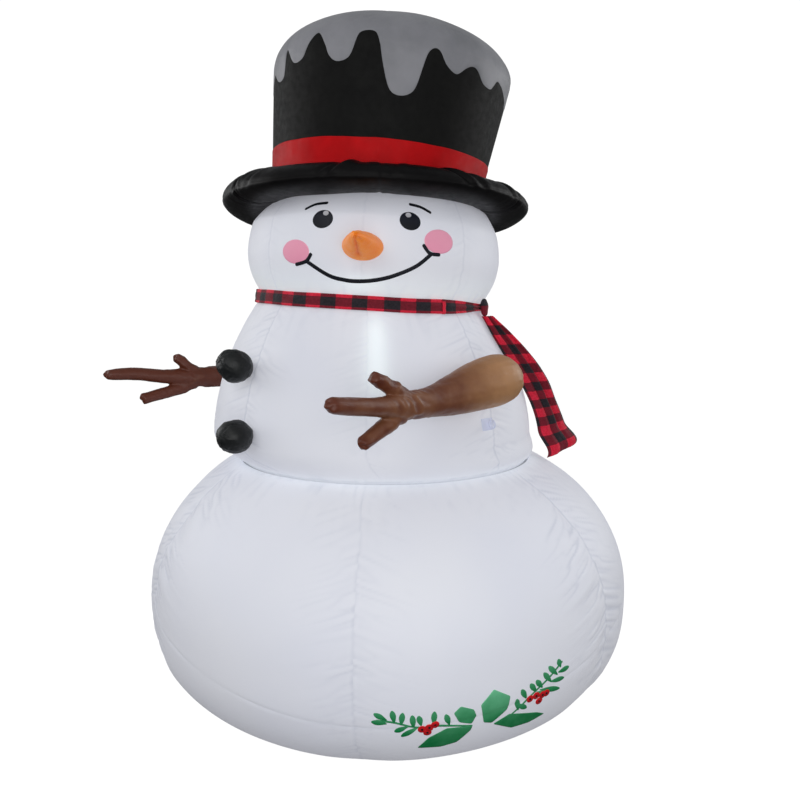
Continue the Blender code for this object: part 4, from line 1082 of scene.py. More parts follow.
def brim_relief(azimuth, angle):
    """Radial puckers from the seam at the rim's edge, stronger near its gores, and two folds in front."""
    outer = np.exp(-((angle / 38.0) ** 2))
    fine = creases(random_waves(azimuth / 360.0 * 168, angle / 120.0, 91, 168))
    broad = random_waves(azimuth / 360.0 * 48, angle / 90.0, 93, 48)
    offset, _ = seam_offset(azimuth, BRIM_SEAMS)
    near = np.exp(-((offset / 9.0) ** 2))
    made = outer * (0.0012 * fine + 0.0022 * broad) * (0.5 + near)
    made += 0.0020 * near * random_waves(azimuth / 2.2, angle / 60.0, 95)
    made -= 0.0020 * np.exp(-((angle / 3.0) ** 2))
    made -= 0.0022 * np.exp(-((offset / 0.8) ** 2))
    for centre, lean, depth in BRIM_FOLDS:
        away = (azimuth - centre - lean * angle + 180.0) % 360.0 - 180.0
        fold = np.exp(-((away / 1.2) ** 2)) - 0.7 * np.exp(-(((away - 2.6) / 1.9) ** 2))
        made -= depth * fold * ease((angle + 30.0) / 60.0) * ease((135.0 - angle) / 40.0)
    return made - 0.006 + 0.0025 * random_waves(azimuth / 20.0, angle / 110.0, 97, 18)


def make_brim():
    azimuth = gore_azimuths(BRIM_SEAMS, 96)[None, :]
    angle = np.linspace(-150.0, 151.0, 70)[:, None]
    points = raised(brim_shape, azimuth, angle, brim_relief(azimuth, angle), (0.1, 0.5))
    brim = grid_object("hat_brim_cloth", points, FINISH["satin"], wrap=True)
    set_piece(brim, "head", "black_satin", "hat_brim")


# ---------------------------------------------------------------- nose and buttons
def nose_turn():
    lean = Matrix.Rotation(math.radians(-NOSE_LIFT), 3, "X") @ Matrix.Rotation(math.radians(NOSE_SWING), 3,
                                                                               "Y")
    return np.array(HEAD_TURN) @ facing(HEAD, NOSE_AZIMUTH, NOSE_Z) @ np.array(lean)


def nose_shape(angle, share):
    """Oval rings that shrink towards the tip. The first rings reach down to the head's cloth."""
    size = np.sqrt(np.clip(1.0 - share, 0.0, 1.0)) * (1.0 - 0.25 * share)
    size = np.where(share < 0.0, 1.0 - 0.3 * share, size)
    turn = np.radians(angle)
    local = np.stack(np.broadcast_arrays(NOSE_HALF_WIDTH * size * np.cos(turn),
                                         NOSE_HALF_HEIGHT * size * np.sin(turn), NOSE_LENGTH * share),
                                         axis=-1)
    spot = heading(NOSE_AZIMUTH) * (bulge_radius(HEAD, NOSE_Z) + 0.010) + np.array([0.0, 0.0, NOSE_Z])
    return moved(local, nose_turn(), moved(spot, HEAD_TURN, HEAD_ORIGIN))


def make_nose():
    angle = np.arange(0.0, 360.0, 2.5)[None, :]
    step = np.linspace(0.0, 0.985, 64)[:, None]
    share = np.where(step < 0.08, (step - 0.08) * 1.3, 1.0 - (1.0 - (step - 0.08) / 0.92) ** 2) + 0.0 * angle
    away = (angle - 262.0 + 180.0) % 360.0 - 180.0
    crease = np.exp(-((away / 9.0) ** 2)) * ease(share / 0.25) * ease((1.02 - share) / 0.2)
    beside = np.exp(-(((np.abs(away) - 22.0) / 14.0) ** 2)) * ease(share / 0.2)
    gather = np.exp(-((share / 0.12) ** 2)) * creases(random_waves(angle / 12.0, share * 4.0, 103, 30))
    tip = ease((share - 0.72) / 0.2) * random_waves(angle / 30.0, share * 9.0, 105, 12)
    relief = -0.0055 * crease + 0.0016 * beside + 0.0014 * gather + 0.0030 * tip
    relief += 0.0018 * random_waves(angle / 45.0, share * 5.0, 107, 8)
    nose = grid_object("carrot_nose_cloth", raised(nose_shape, angle, share, relief, (1.0, 0.004)),
                       FINISH["orange"],
                       wrap=True, capped=True)
    # Painted shade: darker in the crease, in the gathered cloth at its root, towards the tip and towards one
    # side.
    shade = 0.92 - 0.75 * crease - 0.35 * gather - 0.35 * ease((share - 0.85) / 0.15) - 0.25 * ease((away
        - 5.0) / 60.0)
    give(nose, "shade", shade)
    set_piece(nose, "head", "orange_cloth", "carrot_nose")


def crumpled(directions, seed, facets=70, edge=26.0):
    """Radius of a many-faced ball with soft edges, in each direction."""
    random = np.random.default_rng(seed)
    normals = random.normal(size=(facets, 3))
    normals /= np.linalg.norm(normals, axis=1, keepdims=True)
    reach = random.uniform(0.90, 1.0, facets)
    facing_share = np.clip(directions @ normals.T, 1e-3, None)
    return ((facing_share / reach) ** edge).sum(axis=-1) ** (-1.0 / edge)


def make_buttons():
    """Stuffed puffs of crumpled cloth, pinched towards the stitch that holds them."""
    for index, (name, (z, azimuth, radius)) in enumerate(BUTTONS.items()):
        turn = np.arange(0.0, 360.0, 3.0)[None, :]
        lift = np.linspace(-88.0, 88.0, 64)[:, None]
        flat = np.cos(np.radians(lift))
        directions = np.stack(np.broadcast_arrays(flat * np.cos(np.radians(turn)),
                                                  flat * np.sin(np.radians(turn)),
                                                  np.sin(np.radians(lift))), axis=-1)
        size = crumpled(directions, 110 + index, facets=130) * 1.02
        size = size + 0.022 * creases(random_waves(turn / 10.0, lift / 14.0, 120 + index, 36))
        local = directions * size[..., None] * np.array([radius, radius, BUTTON_HALF_DEPTH])
        near = ease((-lift - 35.0) / 50.0)
        local[..., :2] *= (1.0 - 0.25 * near)[..., None]
        local[..., 2] -= STITCH_PULL * near
        spot = torso_point(azimuth, z, BUTTON_HALF_DEPTH + 0.002)
        points = moved(local, facing(TORSO, azimuth, z), spot)
        puff = grid_object("button_%s_cloth" % name, points, FINISH["puff"], wrap=True, capped=True)
        close_start(puff, turn.size)
        set_piece(puff, "torso", "black_cloth", "button_" + name)


def close_start(obj, columns):
    """Closes the first ring of a wrapped grid with a face."""
    mesh = bmesh.new()
    mesh.from_mesh(obj.data)
    mesh.verts.ensure_lookup_table()
    made = mesh.faces.new([mesh.verts[index] for index in reversed(range(columns))])
    made.smooth = True
    mesh.to_mesh(obj.data)
    mesh.free()


# ---------------------------------------------------------------- arms
def arm_place(side, forward, out, up):
    """World place of a point given along the arm's own directions from the shoulder."""
    azimuth = TORSO_FRONT + 90.0 * side
    up = up + ARM_LIFT[side]
    return (torso_point(azimuth, SHOULDER_Z) + np.outer(forward, heading(TORSO_FRONT))
            + np.outer(out, heading(azimuth)) + np.outer(up, [0.0, 0.0, 1.0]))


def tube(path, radius, sides=28):
    """A closed tube with round ends along a path."""
    along = np.gradient(path, axis=0)
    along /= np.linalg.norm(along, axis=1, keepdims=True)
    side = np.cross(along, [0.0, 0.0, 1.0])
    side /= np.linalg.norm(side, axis=1, keepdims=True)
    other = np.cross(side, along)
    turn = np.linspace(0.0, 2.0 * math.pi, sides, endpoint=False)
    rings = path[:, None] + radius[:, None, None] * (
        np.cos(turn)[None, :, None] * side[:, None] + np.sin(turn)[None, :, None] * other[:, None])
    faces = grid_faces(len(path), sides, True)[:, ::-1].tolist()
    faces.append(list(range(sides)))
    faces.append(list(range(len(path) * sides - 1, (len(path) - 1) * sides - 1, -1)))
    return rings.reshape(-1, 3), faces


def twig_tube(side, sections, count, blunt):
    """A tube through arm sections, whose far end closes over a blunt round tip."""
    rows = smooth_path(sections, count)
    path = arm_place(side, rows[:, 0], rows[:, 1], rows[:, 2])
    run = np.concatenate([[0.0], np.cumsum(np.linalg.norm(np.diff(path, axis=0), axis=1))])
    left = np.clip((run[-1] - run) / blunt, 0.02, 1.0)
    return tube(path, rows[:, 3] * np.sqrt(1.0 - (1.0 - left) ** 2))


def remeshed(name, parts, voxel, finish):
    """Fuses closed tubes into one skin of even small faces."""
    points, faces, count = [], [], 0
    for part_points, part_faces in parts:
        points.append(part_points)
        faces += [[count + index for index in face] for face in part_faces]
        count += len(part_points)
    obj = mesh_object(name, np.concatenate(points), faces, finish)
    step = obj.modifiers.new("Remesh", "REMESH")
    step.mode = "VOXEL"
    step.voxel_size = voxel
    step.use_smooth_shade = True
    soften = obj.modifiers.new("Smooth", "SMOOTH")
    soften.factor = 0.6
    soften.iterations = 8
    graph = bpy.context.evaluated_depsgraph_get()
    mesh = bpy.data.meshes.new_from_object(obj.evaluated_get(graph))
    obj.modifiers.clear()
    obj.data = mesh
    mesh.materials.clear()
    mesh.materials.append(finish)
    return obj


def arm_relief(side, points):
    """Wrinkles that run along the arm, tighter where the twigs leave it and where their tips are gathered,
    and the arm's painted light and shade.
    """
    forward_way, out_way = heading(TORSO_FRONT), heading(TORSO_FRONT + 90.0 * side)
    local = points - torso_point(TORSO_FRONT + 90.0 * side, SHOULDER_Z)
    forward, out = local @ forward_way, local @ out_way
    up = local[:, 2] - ARM_LIFT[side]
    tips = np.array(TIPS[side])[:, :3]
    place = np.stack([forward, out, up], axis=1)
    to_tip = np.linalg.norm(place[:, None] - tips[None], axis=2).min(axis=1)
    fork = np.exp(-((forward - 0.385) / 0.075) ** 2)
    gather = np.exp(-(to_tip / 0.030) ** 2)
    back = np.exp(-((forward + 0.085) / 0.03) ** 2)
    wrinkle = np.empty(len(points))
    broad = np.empty(len(points))
    for index, (f, o, u) in enumerate(place):
        wrinkle[index] = grain.noise(Vector((f * 16.0 + side, o * 62.0, u * 62.0)))
        broad[index] = grain.noise(Vector((f * 26.0, o * 30.0 + side, (u - 0.6 * f) * 34.0)))
    ridges = 1.0 - 2.6 * np.abs(broad)
    relief = 0.0014 * wrinkle + 0.0032 * ridges * (0.10 + 1.1 * fork) + 0.0040 * gather * (wrinkle * 2.0
                                                                                           - 0.7)
    relief += 0.0030 * back * wrinkle
    # Painted light and shade: lighter towards the fat shoulder end, the far arm (-1) darker, lighter ridges
    # at the fork and darker gathers at the tips.
    shade = 0.125 * side + (0.61 + 0.31 * side) * ease((0.24 - forward) / 0.26)
    shade += 0.18 * ridges * fork - 0.35 * gather
    return relief, shade


def make_arm(side, body, voxel=0.0040):
    azimuth = TORSO_FRONT + 90.0 * side
    normal = facing(TORSO, azimuth, SHOULDER_Z)[:, 2]
    reach = np.linspace(-0.006, 0.075, 12)
    root = torso_point(azimuth, SHOULDER_Z) + reach[:, None] * normal
    root_radius = ROOT_RADIUS * (1.0 - 0.10 * np.sin(np.pi * np.linspace(0.0, 1.0, 12)))
    arm_tip, upper_tip, lower_tip = TIPS[side]
    parts = [twig_tube(side, (*ARM_SECTIONS, arm_tip), 90, 0.020),
             twig_tube(side, (*UPPER_TWIG, upper_tip), 24, 0.012),
             twig_tube(side, (*LOWER_TWIG, lower_tip), 30, 0.012), tube(root, root_radius)]
    arm = remeshed(body + "_cloth", parts, voxel, FINISH["brown"])
    count = len(arm.data.vertices)
    points, normals = np.empty(count * 3), np.empty(count * 3)
    arm.data.vertices.foreach_get("co", points)
    arm.data.vertices.foreach_get("normal", normals)
    points, normals = points.reshape(-1, 3), normals.reshape(-1, 3)
    relief, shade = arm_relief(side, points)
    arm.data.vertices.foreach_set("co", (points + normals * relief[:, None]).ravel())
    arm.data.update()
    give(arm, "shade", shade)
    set_piece(arm, body, "brown_satin", body)


# ---------------------------------------------------------------- scarf
def scarf_radius(z):
    low = bulge_radius(TORSO, NECK_Z + SCARF_LOW) + 0.0035
    high = bulge_radius(HEAD, SCARF_HIGH) + 0.0030
    return low + (high - low) * (z - SCARF_LOW) / (SCARF_HIGH - SCARF_LOW)


def scarf_pinch(azimuth):
    """How much of its width the band keeps: it is gathered on both sides of the knot."""
    near = np.abs((azimuth - KNOT_AZIMUTH + 180.0) % 360.0 - 180.0)
    return 0.52 + 0.48 * ease(near / (KNOT_AZIMUTH - KEEPER_AZIMUTH))


def make_scarf_band():
    azimuth = np.arange(0.0, 360.0, 0.6)[None, :]
    share = np.concatenate([[0.0, 0.0, 0.0, 0.03], np.linspace(0.09, 0.91, 17), [0.97, 1.0, 1.0, 1.0]])[:,
        None]
    lift = np.concatenate([[-0.004, -0.001, 0.001, 0.0028], np.full(17, 0.0036),
                           [0.0028, 0.001, -0.001, -0.004]])
    keep = scarf_pinch(azimuth)
    middle = 0.5 * (SCARF_LOW + SCARF_HIGH) + 0.0015 * random_waves(azimuth / 18.0, 0.0 * azimuth, 131, 20)
    z = middle + (share - 0.5) * 0.046 * keep
    gathered = (1.0 - keep) / 0.48
    folds = np.sin(2.0 * math.pi * (2.2 * share + 0.3 * random_waves(azimuth / 10.0, share, 133, 36)))
    waves = random_waves(azimuth / 360.0 * 110, share * 1.3, 135, 110)
    off = lift[:, None] + 0.0016 * waves + (0.0006 + 0.0034 * gathered) * folds
    local = ring_points(azimuth, scarf_radius(z) + off + 0.0015, z)
    points = moved(local, HEAD_TURN, HEAD_ORIGIN)
    band = grid_object("scarf_band_cloth", points, FINISH["band"], wrap=True)
    set_piece(band, "torso", "plaid_cloth", "scarf_band")


def scarf_spot(azimuth, off):
    """Turn and place on the scarf's cone."""
    middle = 0.5 * (SCARF_LOW + SCARF_HIGH)
    slope = (scarf_radius(SCARF_LOW) - scarf_radius(SCARF_HIGH)) / (SCARF_HIGH - SCARF_LOW)
    normal = heading(azimuth) + np.array([0.0, 0.0, slope])
    normal /= np.linalg.norm(normal)
    around = heading(azimuth + 90.0)
    turn = np.stack([around, np.cross(normal, around), normal], axis=1)
    spot = heading(azimuth) * (scarf_radius(middle) + 0.0015) + np.array([0.0, 0.0, middle]) + normal * off
    return np.array(HEAD_TURN) @ turn, moved(spot, HEAD_TURN, HEAD_ORIGIN)


def make_knot():
    """The wrapped knot: a soft bundle with folds that run round it."""
    turn = np.arange(0.0, 360.0, 5.0)[None, :]
    lift = np.linspace(-86.0, 86.0, 48)[:, None]
    flat = np.cos(np.radians(lift)) ** 0.75
    folds = 1.0 + 0.07 * np.sin(np.radians(lift * 5.0 + 40.0 * np.sin(np.radians(turn)))) * flat
    local = np.stack(np.broadcast_arrays(0.021 * flat * np.cos(np.radians(turn)) * folds,
                                         0.030 * np.sin(np.radians(lift)),
                                         0.0125 * flat * np.sin(np.radians(turn)) * folds), axis=-1)
    spin, spot = scarf_spot(KNOT_AZIMUTH, 0.0135)
    knot = grid_object("scarf_knot_cloth", moved(local[:, ::-1], spin, spot), FINISH["plaid"], wrap=True,
                       capped=True)
    close_start(knot, turn.size)
    set_piece(knot, "torso", "plaid_cloth", "scarf_knot")


def make_keeper():
    """A stitched strip that holds the band, following its curve."""
    across = np.linspace(-1.0, 1.0, 9)[None, :]
    along = np.linspace(-1.0, 1.0, 25)[:, None]
    height = 0.0018 + 0.0012 * (1.0 - across**4) * (1.0 - along**8) - 0.0035 * np.abs(along) ** 14
    local = np.stack(np.broadcast_arrays(0.0065 * across + 0.0006 * np.sin(7.0 * along), 0.0235 * along,
                                         height), axis=-1)
    spin, spot = scarf_spot(KEEPER_AZIMUTH, 0.0025)
    keeper = thicken(grid_object("scarf_keeper_cloth", moved(local, spin, spot), FINISH["plaid"]), 0.0010)
    set_piece(keeper, "torso", "plaid_cloth", "scarf_keeper")


def make_tail():
    """The loose end: pleated where it leaves the knot, opening to its full width at a slanted hem."""
    rows, columns = 110, 41
    path = smooth_path([(*section,) for section in TAIL_SECTIONS], rows)
    across = np.linspace(-1.0, 1.0, columns)
    share = np.linspace(0.0, 1.0, rows)[:, None]
    points = np.empty((rows, columns, 3))
    pleats = 0.5 * (1.0 - share) ** 1.3 + 0.10
    wave = np.sin(2.0 * math.pi * (1.6 * across + 0.12 * share + 0.1)) + 0.45 * np.sin(
        2.0 * math.pi * (3.1 * across - 0.35 * share))
    soft = random_waves(across * 2.2 + 9.0, share * 4.0, 141)
    depth = 0.013 * pleats * wave + 0.006 * soft * share + 0.010 * share * (1.0 - across**2)
    for row, (z, azimuth, off, width, turn) in enumerate(path):
        side, out = heading(azimuth + 90.0 - turn), heading(azimuth - turn)
        centre = torso_point(azimuth, z, off)
        points[row] = centre + np.outer(across * 0.5 * width, side) + np.outer(depth[row], out)
        points[row, :, 2] += 0.020 * (across * share[row] ** 3)
    tail = grid_object("scarf_tail_cloth", points[:, ::-1], FINISH["plaid"])
    flat_width = 0.150
    u = (np.linspace(0.0, 1.0, columns) - 0.08) * flat_width
    v = np.concatenate([[0.0], np.cumsum(np.linalg.norm(np.diff(points[:, columns // 2], axis=0), axis=1))])
    corners = np.stack(np.broadcast_arrays(u[None, :], v[:, None]), axis=-1)
    uv = np.stack([corners[:-1, :-1], corners[:-1, 1:], corners[1:, 1:], corners[1:, :-1]], axis=2)
    tail.data.uv_layers[0].data.foreach_set("uv", uv.astype(np.float32).ravel())
    thicken(tail, 0.0024)
    set_piece(tail, "scarf_tail", "plaid_cloth", "scarf_tail")


# ---------------------------------------------------------------- sleeve, zip, straps
def along_y(points, y=0.0):
    """Lays shapes that are turned about +Z along +Y at the fan's height."""
    return np.stack([points[..., 0], points[..., 2] + y, FAN_Z - points[..., 1]], axis=-1)


def make_sleeve():
    """A short cloth sleeve, gathered under its drawstring."""
    turn = np.arange(0.0, 360.0, 2.0)[None, :]
    y = np.linspace(SLEEVE_START, SLEEVE_END, 84)[:, None]
    string = SLEEVE_END - 0.012
    gather = np.exp(-np.abs(y - string) / 0.045)
    pleats = creases(random_waves(turn / 360.0 * 44, y / 0.12, 151, 44))
    radius = DUCT_RADIUS + 0.0022 + (0.0035 - 0.0032 * np.exp(-((y - string) / 0.004) ** 2)) * (
        0.8 + gather * pleats) + 0.004 * ease((0.70 - y) / 0.1) * (1.0 + random_waves(turn / 30.0, y / 0.07,
                                                                                      153, 12))
    local = ring_points(turn, radius, y)
    points = along_y(local)
    inner = bulge_radius(BASE, points[..., 2])
    reach = np.sqrt(np.clip(inner**2 - points[..., 0] ** 2, 0.0, None)) - 0.004
    points[..., 1] = np.maximum(points[..., 1], reach)
    points[..., 2] = np.maximum(points[..., 2], 0.0015)
    sleeve = grid_object("fan_sleeve_cloth", points, FINISH["lining"], wrap=True)
    set_piece(sleeve, "base", "grey_lining", "fan_sleeve")


def make_drawstring():
    """A three-strand cord round the sleeve."""
    turn = np.arange(0.0, 360.0, 1.5)[None, :]
    around = np.arange(0.0, 360.0, 30.0)[:, None]
    strand = 0.0021 + 0.0004 * np.cos(np.radians(3.0 * around + 60.0 * turn))
    ring = DUCT_RADIUS + 0.0038
    radius = ring + strand * np.cos(np.radians(around))
    local = ring_points(turn, radius, strand * np.sin(np.radians(around)))
    points = along_y(local, SLEEVE_END - 0.012)
    points = np.concatenate([points, points[:1]])
    cord = grid_object("sleeve_drawstring_cord", points, FINISH["webbing"], wrap=True)
    weld(cord)
    set_piece(cord, "base", "webbing", "sleeve_drawstring")


def weld(obj, distance=0.00001):
    mesh = bmesh.new()
    mesh.from_mesh(obj.data)
    bmesh.ops.remove_doubles(mesh, verts=mesh.verts[:], dist=distance)
    bmesh.ops.recalc_face_normals(mesh, faces=mesh.faces[:])
    mesh.to_mesh(obj.data)
    mesh.free()


def make_zip():
    """Tape with two rows of small teeth that meet in the middle."""
    azimuth = np.linspace(*ZIP_AZIMUTHS, 160)[None, :]
    share = np.linspace(0.0, 1.0, 13)[:, None]
    z = ZIP_Z[0] + (ZIP_Z[1] - ZIP_Z[0]) * share + 0.0 * azimuth
    lift = 0.0034 + 0.0004 * random_waves(azimuth / 1.5, share * 3.0, 161)
    tape = thicken(grid_object("zipper_tape_cloth", on_base_plain(azimuth, z, lift), FINISH["lining"]),
                   0.0010)
    parts = []
    middle = 0.5 * (ZIP_Z[0] + ZIP_Z[1])
    spots = np.arange(ZIP_AZIMUTHS[0] + 0.8, ZIP_AZIMUTHS[1] - 0.5, 0.22)
    for index, spot in enumerate(spots):
        side = 1.0 if index % 2 else -1.0
        outline = np.array([(-0.07, 0.0), (0.07, 0.0), (0.07, 0.0032), (-0.07, 0.0032)])
        foot = on_base_plain(spot + outline[:, 0], middle + side * (outline[:, 1] - 0.0006), 0.0040)
        head = on_base_plain(spot + 0.8 * outline[:, 0], middle + side * (0.9 * outline[:, 1] - 0.0004),
                             0.0056)
        box = [[0, 3, 2, 1], [4, 5, 6, 7], [0, 1, 5, 4], [1, 2, 6, 5], [2, 3, 7, 6], [3, 0, 4, 7]]
        parts.append((np.concatenate([foot, head]), box, 0.3))
    teeth = joined("zipper_teeth", parts, FINISH["plastic"])
    set_piece(tape, "base", "grey_lining", "zipper_tape")
    set_piece(teeth, "base", "fan_plastic")


def on_base_plain(azimuth, z, off):
    """The base's own turned shape, without its puckers."""
    return raised(base_shape, azimuth, z, np.broadcast_arrays(off, azimuth + z)[0])


def strap_grid(width, length, hole, hole_at, thickness, seed):
    """A flat strap with rounded corners and a stitched hole: rings of points from the hole to the edge."""
    angle = np.linspace(0.0, 2.0 * math.pi, 96, endpoint=False)
    way = np.stack([np.cos(angle), np.sin(angle)], axis=1)
    half = np.array([0.5 * width, 0.5 * length])
    centre = np.array([0.0, hole_at])
    scale = np.full(len(angle), 9.0)
    for axis in (0, 1):
        for sign in (1.0, -1.0):
            step = way[:, axis] * sign
            room = (half[axis] - sign * centre[axis]) / np.where(step > 1e-6, step, 1e9)
            scale = np.where(step > 1e-6, np.minimum(scale, room), scale)
    edge = centre + way * scale[:, None]
    rim = centre + way * hole
    shares = np.array([0.0, 0.04, 0.10, 0.18, 0.3, 0.45, 0.6, 0.75, 0.88, 1.0])[:, None, None]
    flat = rim[None] + (edge - rim)[None] * shares
    stitched = 0.0006 * np.exp(-(((np.linalg.norm(flat - centre, axis=2) - hole) / 0.0022 - 0.8) ** 2))
    hem = 0.0008 * np.exp(-(((flat[..., 1] + 0.5 * length - 0.012) / 0.0016) ** 2))
    wave = 0.0008 * random_waves(flat[..., 0] / 0.03, flat[..., 1] / 0.03, seed)
    top = thickness + stitched + hem + wave
    return flat, top


def make_tabs():
    """Webbing straps on the ground, each with a stitched hole for a stake."""
    for index, azimuth in enumerate(TAB_AZIMUTHS):
        inner = FLOOR_RADIUS + 0.003
        hole_at = 0.5 * TAB_REACH - 0.022
        flat, top = strap_grid(TAB_WIDTH, TAB_REACH, TAB_HOLE, hole_at, 0.0016, 170 + index)
        middle = heading(azimuth) * (inner + 0.5 * TAB_REACH)
        side, out = heading(azimuth + 90.0), heading(azimuth)
        ground = middle + flat[..., :1] * side + flat[..., 1:] * out
        upper = ground + top[..., None] * np.array([0.0, 0.0, 1.0])
        lower = ground + np.array([0.0, 0.0, 0.0003])
        rings = np.concatenate([upper, lower[::-1], upper[:1]])
        tab = grid_object("ground_tab_%d_strap" % (index + 1), rings, FINISH["webbing"], wrap=True)
        weld(tab)
        set_piece(tab, "base", "webbing", "ground_tab_%d" % (index + 1))


def make_tethers():
    """Small patches sewn on the torso, each with a folded loop for a guy rope."""
    for index, (name, (azimuth, z)) in enumerate(TETHERS.items()):
        across = np.linspace(-1.0, 1.0, 41)[None, :]
        up = np.linspace(-1.0, 1.0, 31)[:, None]
        edge = np.maximum(np.abs(across), np.abs(up))
        puckers = 0.0005 * random_waves(across * 9.0, up * 7.0, 181 + index) * edge
        stitched = -0.0006 * np.exp(-(((edge - 0.88) / 0.03) ** 2))
        lift = 0.0024 - 0.0030 * ease((edge - 0.93) / 0.07) + puckers + stitched
        patch = grid_object("tether_patch_%s_cloth" % name,
                            on_torso(azimuth + 2.8 * across + 0.0 * up, z + 0.020 * up + 0.0 * across, lift),
                            FINISH["patch"])
        set_piece(patch, "torso", "white_cloth", "tether_patch_" + name)
        make_loop(name, azimuth, z)


def make_loop(name, azimuth, z):
    """A flat ribbon bent into a loop that stands off the patch."""
    turn = np.arange(0.0, 360.0, 5.0)[None, :]
    section = np.radians(np.arange(0.0, 360.0, 22.5))[:, None]
    stretch = 1.0 + 0.12 * np.cos(np.radians(2.0 * turn))
    radius = (0.0120 + 0.0016 * np.cos(section)) * stretch
    local = ring_points(turn, radius, 0.0042 * np.sign(np.sin(section)) * np.abs(np.sin(section)) ** 0.6)
    local = np.concatenate([local, local[:1]])
    spin = facing(TORSO, azimuth, z) @ np.array(Matrix.Rotation(math.radians(90.0), 3, "Y"))
    points = moved(local, spin, torso_point(azimuth, z, 0.0180))
    loop = grid_object("tether_loop_%s_strap" % name, points, FINISH["patch"], wrap=True)
    weld(loop)
    set_piece(loop, "torso", "webbing", "tether_loop_" + name)


# ---------------------------------------------------------------- inside
def cloth_disc(name, inner, outer, x, z, turn, seed, waves=0.0012, rise=0.0008):
    """A flat ring of lining with radial puckers towards its sewn edge."""
    azimuth = np.arange(0.0, 360.0, 2.0)[None, :]
    radius = inner + (outer - inner) * np.linspace(0.0, 1.0, 40)[:, None]
    puckers = waves * random_waves(azimuth / 360.0 * 60, radius / 0.1, seed,
                                   60) * ease((radius - inner) / 0.15)
    local = ring_points(azimuth, radius, rise + puckers)
    points = moved(local[:, ::-1], turn, (x, 0.0, z))
    return thicken(grid_object(name, points, FINISH["lining"], wrap=True), 0.0006)


def make_inside():
    upright = Matrix.Identity(3)
    floor = cloth_disc("base_floor_cloth", 0.002, FLOOR_RADIUS, 0.0, 0.0, upright, 191, waves=0.0002,
                       rise=0.0008)
    set_piece(floor, "base", "grey_lining", "base_floor")
    waist = float(bulge_radius(BASE, WAIST_Z)) - 0.006
    neck = float(bulge_radius(HEAD, 0.0)) - 0.006
    for name, radius, x, z, turn, body in (("waist_baffle", waist, WAIST_X, WAIST_Z - 0.007, upright, "base"),
                                           ("neck_baffle", neck, BODY_X, NECK_Z - 0.007, HEAD_TURN, "torso")):
        disc = cloth_disc(name + "_cloth", BAFFLE_HOLE, radius, x, z, turn, 193, waves=0.0010)
        set_piece(disc, body, "grey_lining", name)


def make_ballast():
    """Two sand-filled pouches: soft pillows with a pinched seam all round."""
    for index, (name, side) in enumerate((("left", 1.0), ("right", -1.0))):
        turn = np.arange(0.0, 360.0, 3.0)[None, :]
        lift = np.linspace(-88.0, 88.0, 48)[:, None]
        flat = np.cos(np.radians(lift)) ** 0.7
        corner = 1.0 / (np.abs(np.cos(np.radians(turn))) ** 3
                        + np.abs(np.sin(np.radians(turn))) ** 3) ** (1.0 / 3.0)
        ripple = 1.0 + 0.03 * random_waves(turn / 8.0, lift / 30.0, 201 + index, 45) * flat
        seam = 1.0 + 0.035 * np.exp(-((lift / 3.0) ** 2))
        local = np.stack(np.broadcast_arrays(
            0.104 * flat * corner * np.cos(np.radians(turn)) * ripple * seam,
            0.070 * flat * corner * np.sin(np.radians(turn)) * ripple * seam,
            0.033 * np.sin(np.radians(lift)) * (0.9 + 0.1 * ripple)), axis=-1)
        bag = grid_object("ballast_bag_%s_cloth" % name, local + np.array([0.170 * side, 0.100, 0.037]),
                          FINISH["lining"], wrap=True, capped=True)
        close_start(bag, turn.size)
        set_piece(bag, "base", "grey_lining", "ballast_bag_" + name)


def finish_carried_nodes():
    """Better materials for the hard parts that stay as they are."""
    groups = {
        "plastic": ["fan_duct", "fan_stand", "fan_grille", "fan_rotor", "power_inlet", "cord_lock"],
        "steel": ["fan_motor", "fan_shaft", "zipper_slider"] + ["grille_screw_%d" % n for n in (1, 2, 3, 4)],
        "lamp": ["lamp_base", "lamp_torso", "lamp_head"],
        "rubber": ["lead_base", "lead_torso", "lead_head"],
    }
    for finish, nodes in groups.items():
        for node in nodes:
            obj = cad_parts[node]
            if not obj.material_slots:
                obj.data.materials.append(FINISH[finish])
            for place in obj.material_slots:
                place.material = FINISH[finish]


# ---------------------------------------------------------------- stage
def area_light(name, place, target, size, power, color=(1.0, 1.0, 1.0)):
    data = bpy.data.lights.new(name, "AREA")
    data.size = size
    data.energy = power
    data.color = color
    obj = bpy.data.objects.new(name, data)
    obj.location = place
    obj.rotation_euler = (Vector(target) - Vector(place)).to_track_quat("-Z", "Y").to_euler()
    bpy.context.scene.collection.objects.link(obj)


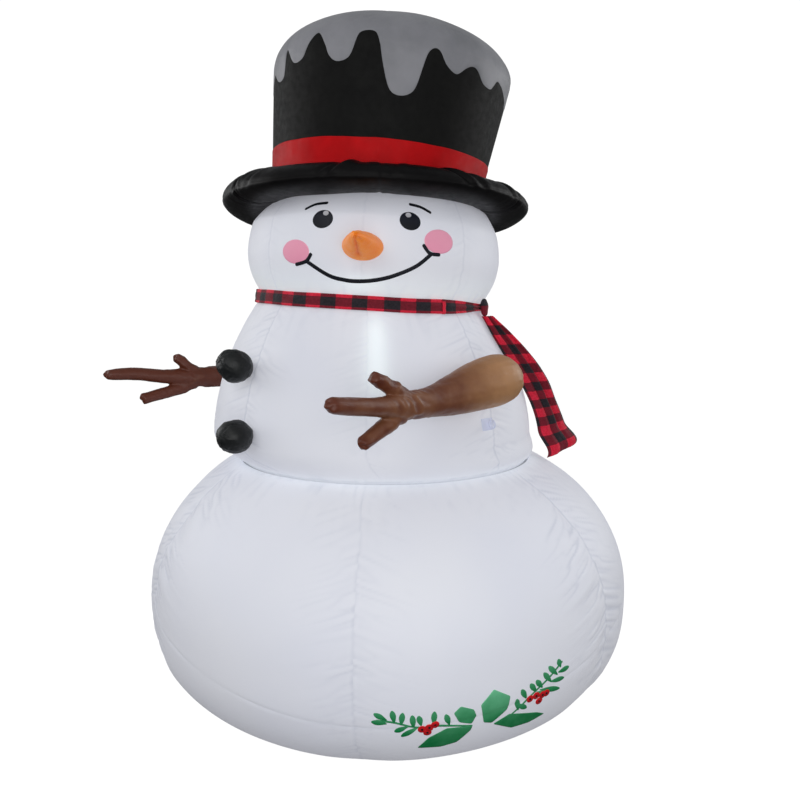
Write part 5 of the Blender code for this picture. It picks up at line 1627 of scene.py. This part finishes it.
def make_world():
    world = bpy.data.worlds.new("studio")
    bpy.context.scene.world = world
    world.use_nodes = True
    tree = world.node_tree
    sky = tree.nodes["Background"]
    sky.inputs["Color"].default_value = (0.96, 0.98, 1.0, 1.0)
    sky.inputs["Strength"].default_value = 0.36
    backdrop = tree.nodes.new("ShaderNodeBackground")
    backdrop.inputs["Color"].default_value = (1.0, 1.0, 1.0, 1.0)
    backdrop.inputs["Strength"].default_value = 1.05
    path = tree.nodes.new("ShaderNodeLightPath")
    mix = tree.nodes.new("ShaderNodeMixShader")
    tree.links.new(path.outputs["Is Camera Ray"], mix.inputs["Fac"])
    tree.links.new(sky.outputs[0], mix.inputs[1])
    tree.links.new(backdrop.outputs[0], mix.inputs[2])
    tree.links.new(mix.outputs[0], tree.nodes["World Output"].inputs["Surface"])


def make_stage():
    make_world()
    ring = np.radians(np.arange(0.0, 360.0, 5.0))[None, :]
    radius = np.linspace(0.0, 1.0, 24)[:, None] ** 2 * 14.0 + 0.01
    points = np.stack(np.broadcast_arrays(radius * np.cos(ring), radius * np.sin(ring), 0.0 * radius),
                      axis=-1)
    floor = grid_object("floor", points[::-1], studio_floor(), wrap=True, capped=True)
    floor.location.z = -0.001
    middle = (BODY_X, 0.0, 1.2)
    area_light("left_side", (-3.6, 1.0, 2.2), middle, 2.2, 42.0)
    area_light("right_side", (3.6, 1.0, 2.2), middle, 2.2, 42.0)
    area_light("key", (-1.6, -3.4, 3.6), middle, 2.4, 34.0)
    area_light("front", (0.6, -4.2, 1.0), middle, 3.0, 74.0)
    camera = bpy.data.objects.new("camera", bpy.data.cameras.new("camera"))
    camera.location = (0.042, -2.988, 1.524)
    camera.rotation_euler = (math.radians(90.0 - 7.83), 0.0, 0.0)
    camera.data.lens = 37.0
    camera.data.sensor_width = 36.0
    bpy.context.scene.collection.objects.link(camera)
    bpy.context.scene.camera = camera
    bpy.context.scene.view_settings.view_transform = "Standard"


def main():
    make_stage()
    make_inside()
    make_base()
    make_torso()
    make_head()
    make_face()
    make_wreath()
    make_crown()
    make_band()
    make_brim()
    make_nose()
    make_buttons()
    make_arm(1, "left_arm")
    make_arm(-1, "right_arm")
    make_scarf_band()
    make_knot()
    make_keeper()
    make_tail()
    make_sleeve()
    make_drawstring()
    make_zip()
    make_tabs()
    make_tethers()
    make_ballast()
    finish_carried_nodes()


main()
